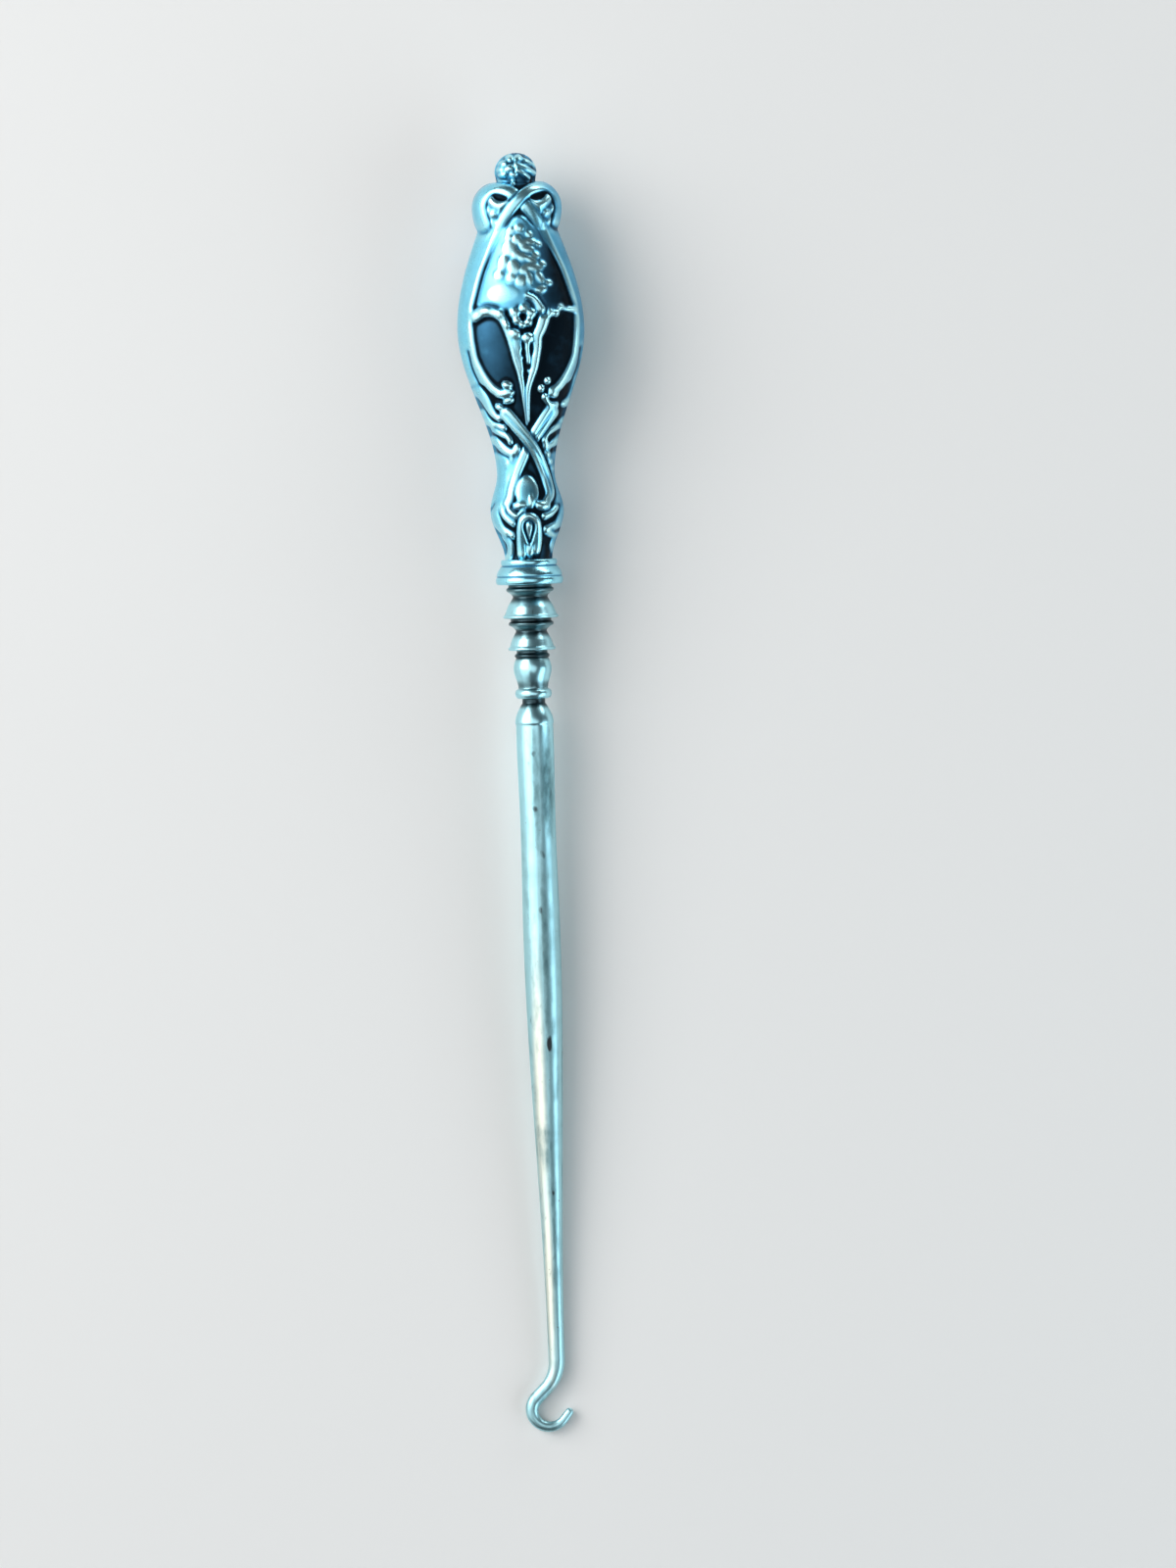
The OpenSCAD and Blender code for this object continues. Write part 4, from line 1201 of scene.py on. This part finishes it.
def steel_material():
    n = Nodes("worn_steel")
    streaks = n.noise(900, 4, (1, 0.05, 1))
    cloud = n.noise(260, 6)
    patch = n.noise(1100, 4, (1, 0.4, 1))
    speck = n.noise(1500, 2)

    # A patch's edge broken up by noise
    def ragged(name, spread, low, high):
        loose = n.math("MULTIPLY", n.math("SUBTRACT", patch, 0.5), spread)
        return n.span(n.math("ADD", n.attribute(name), loose), low, high, 0, 1)

    colour = n.blend(n.attribute("cool"), STEEL_PALE, STEEL_COOL)
    # Warm tint on the lower shank: a painted reflection
    colour = n.blend(n.attribute("warm_reflection"), colour, STEEL_WARM_REFLECTION)
    scuffs = n.math("MULTIPLY", n.span(streaks, 0.42, 0.75, 0, 1), n.span(cloud, 0.4, 0.65, 0.1, 0.9))
    scuffs = n.math("MULTIPLY", scuffs, n.span(n.attribute("cool"), 0, 1, 1, 0.3))
    grey = n.math("MAXIMUM", scuffs, ragged("dull", 1.1, 0.1, 0.95))
    colour = n.blend(grey, colour, STEEL_GREY)
    rust = n.math("MULTIPLY", n.span(speck, 0.70, 0.76, 0, 1), n.span(cloud, 0.52, 0.62, 0, 0.7))
    colour = n.blend(rust, colour, STEEL_RUST)
    stain = ragged("stain", 1.5, 0.25, 0.75)
    colour = n.blend(stain, colour, STEEL_STAIN)
    # Necks, grooves and undersides darkened: grime with painted shade
    colour = n.blend(n.attribute("grime_and_shade"), colour, STEEL_GRIME_AND_SHADE)
    share = n.math("MAXIMUM", n.math("MAXIMUM", grey, rust), stain)
    rough = n.span(share, 0, 1, *STEEL_ROUGHNESS)
    roughness = n.math("ADD", rough, n.math("MULTIPLY", n.attribute("satin"), SATIN_ROUGHNESS))
    n.bump(streaks, 0.02, 0.00005)
    return n.finish(colour, roughness, 1.0)


def plain_material(name, light, dark, scale, roughness, metallic):
    n = Nodes(name)
    cloud = n.noise(scale, 5)
    n.bump(cloud, 0.2, 0.0001)
    rough = n.span(cloud, 0, 1, roughness - 0.1, roughness + 0.1)
    return n.finish(n.blend(cloud, light, dark), rough, metallic)


def dress_cad_nodes():
    solder = plain_material("hard_solder", (0.66, 0.73, 0.76), (0.42, 0.47, 0.50), 1200, 0.4, 1.0)
    pitch = plain_material("pitch", (0.06, 0.045, 0.035), (0.02, 0.016, 0.013), 600, 0.75, 0.0)
    for node, material in (("seam_solder", solder), ("handle_filler", pitch)):
        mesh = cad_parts[node].data
        mesh.materials.clear()
        mesh.materials.append(material)


# Stage: floor, lights and camera
FLOOR_SIZE = 4.0
FLOOR_LEVEL = -0.0002
FLOOR_COLOUR = (0.80, 0.79, 0.77)
FLOOR_ROUGHNESS = 0.8


def make_floor():
    mesh = bpy.data.meshes.new("floor")
    half = FLOOR_SIZE / 2
    corners = [(-half, -half), (half, -half), (half, half), (-half, half)]
    mesh.from_pydata([(x, y, FLOOR_LEVEL) for x, y in corners], [], [(0, 1, 2, 3)])
    mesh.materials.append(Nodes("pale_floor").finish(FLOOR_COLOUR, FLOOR_ROUGHNESS, 0.0))
    floor = placed("floor", mesh)


def soft_light(name, place, size, power, colour):
    light = bpy.data.lights.new(name, "AREA")
    light.shape = "RECTANGLE"
    light.size = size[0]
    light.size_y = size[1]
    light.energy = power
    light.color = colour
    lamp = placed(name, light)
    lamp.location = place
    lamp.rotation_euler = (-Vector(place)).to_track_quat("-Z", "Y").to_euler()


def make_lights():
    soft_light("left_window", (-0.78, 0.02, 0.58), (1.4, 1.2), 6.4, (0.98, 0.99, 1.0))
    soft_light("left_lamp", (-0.68, 0.39, 0.47), (0.78, 0.55), 5.4, (1.0, 1.0, 1.0))
    soft_light("overhead", (-0.28, 0.10, 1.75), (1.2, 2.2), 8.8, (0.96, 0.98, 1.0))
    soft_light("far_window", (0.45, 0.62, 0.15), (0.44, 0.20), 1.2, (0.95, 0.98, 1.0))
    soft_light("right_window", (0.60, -0.28, 0.30), (0.80, 0.40), 2.4, (0.78, 0.92, 1.0))
    world = bpy.data.worlds.new("studio")
    world.use_nodes = True
    background = world.node_tree.nodes["Background"]
    background.inputs["Color"].default_value = (0.055, 0.062, 0.07, 1)
    background.inputs["Strength"].default_value = 1.0
    bpy.context.scene.world = world


# The photograph's frame at table height, where the middle of the tool lies in it, and the tool's lean
VIEW_HEIGHT = 0.2406
CAMERA_HEIGHT = 1.5
SENSOR = 36.0
TOOL_OFFSET = (-0.00780, -0.00152)
TOOL_LEAN = math.radians(1.976)


def make_camera():
    data = bpy.data.cameras.new("camera")
    data.sensor_width = SENSOR
    data.lens = SENSOR * CAMERA_HEIGHT / VIEW_HEIGHT
    camera = placed("camera", data)
    right = Vector((math.cos(TOOL_LEAN), -math.sin(TOOL_LEAN), 0))
    up = Vector((math.sin(TOOL_LEAN), math.cos(TOOL_LEAN), 0))
    place = -right * TOOL_OFFSET[0] - up * TOOL_OFFSET[1]
    camera.location = (place.x, place.y, CAMERA_HEIGHT)
    camera.rotation_euler = (0, 0, -TOOL_LEAN)
    bpy.context.scene.camera = camera


make_camera()
make_floor()
make_lights()
make_shells(silver_material("stamped_silver", SHELL_POLISH))
make_ferrule(silver_material("turned_silver", FERRULE_POLISH))
make_steel(steel_material())
dress_cad_nodes()

bpy.context.scene.view_settings.view_transform = "Standard"
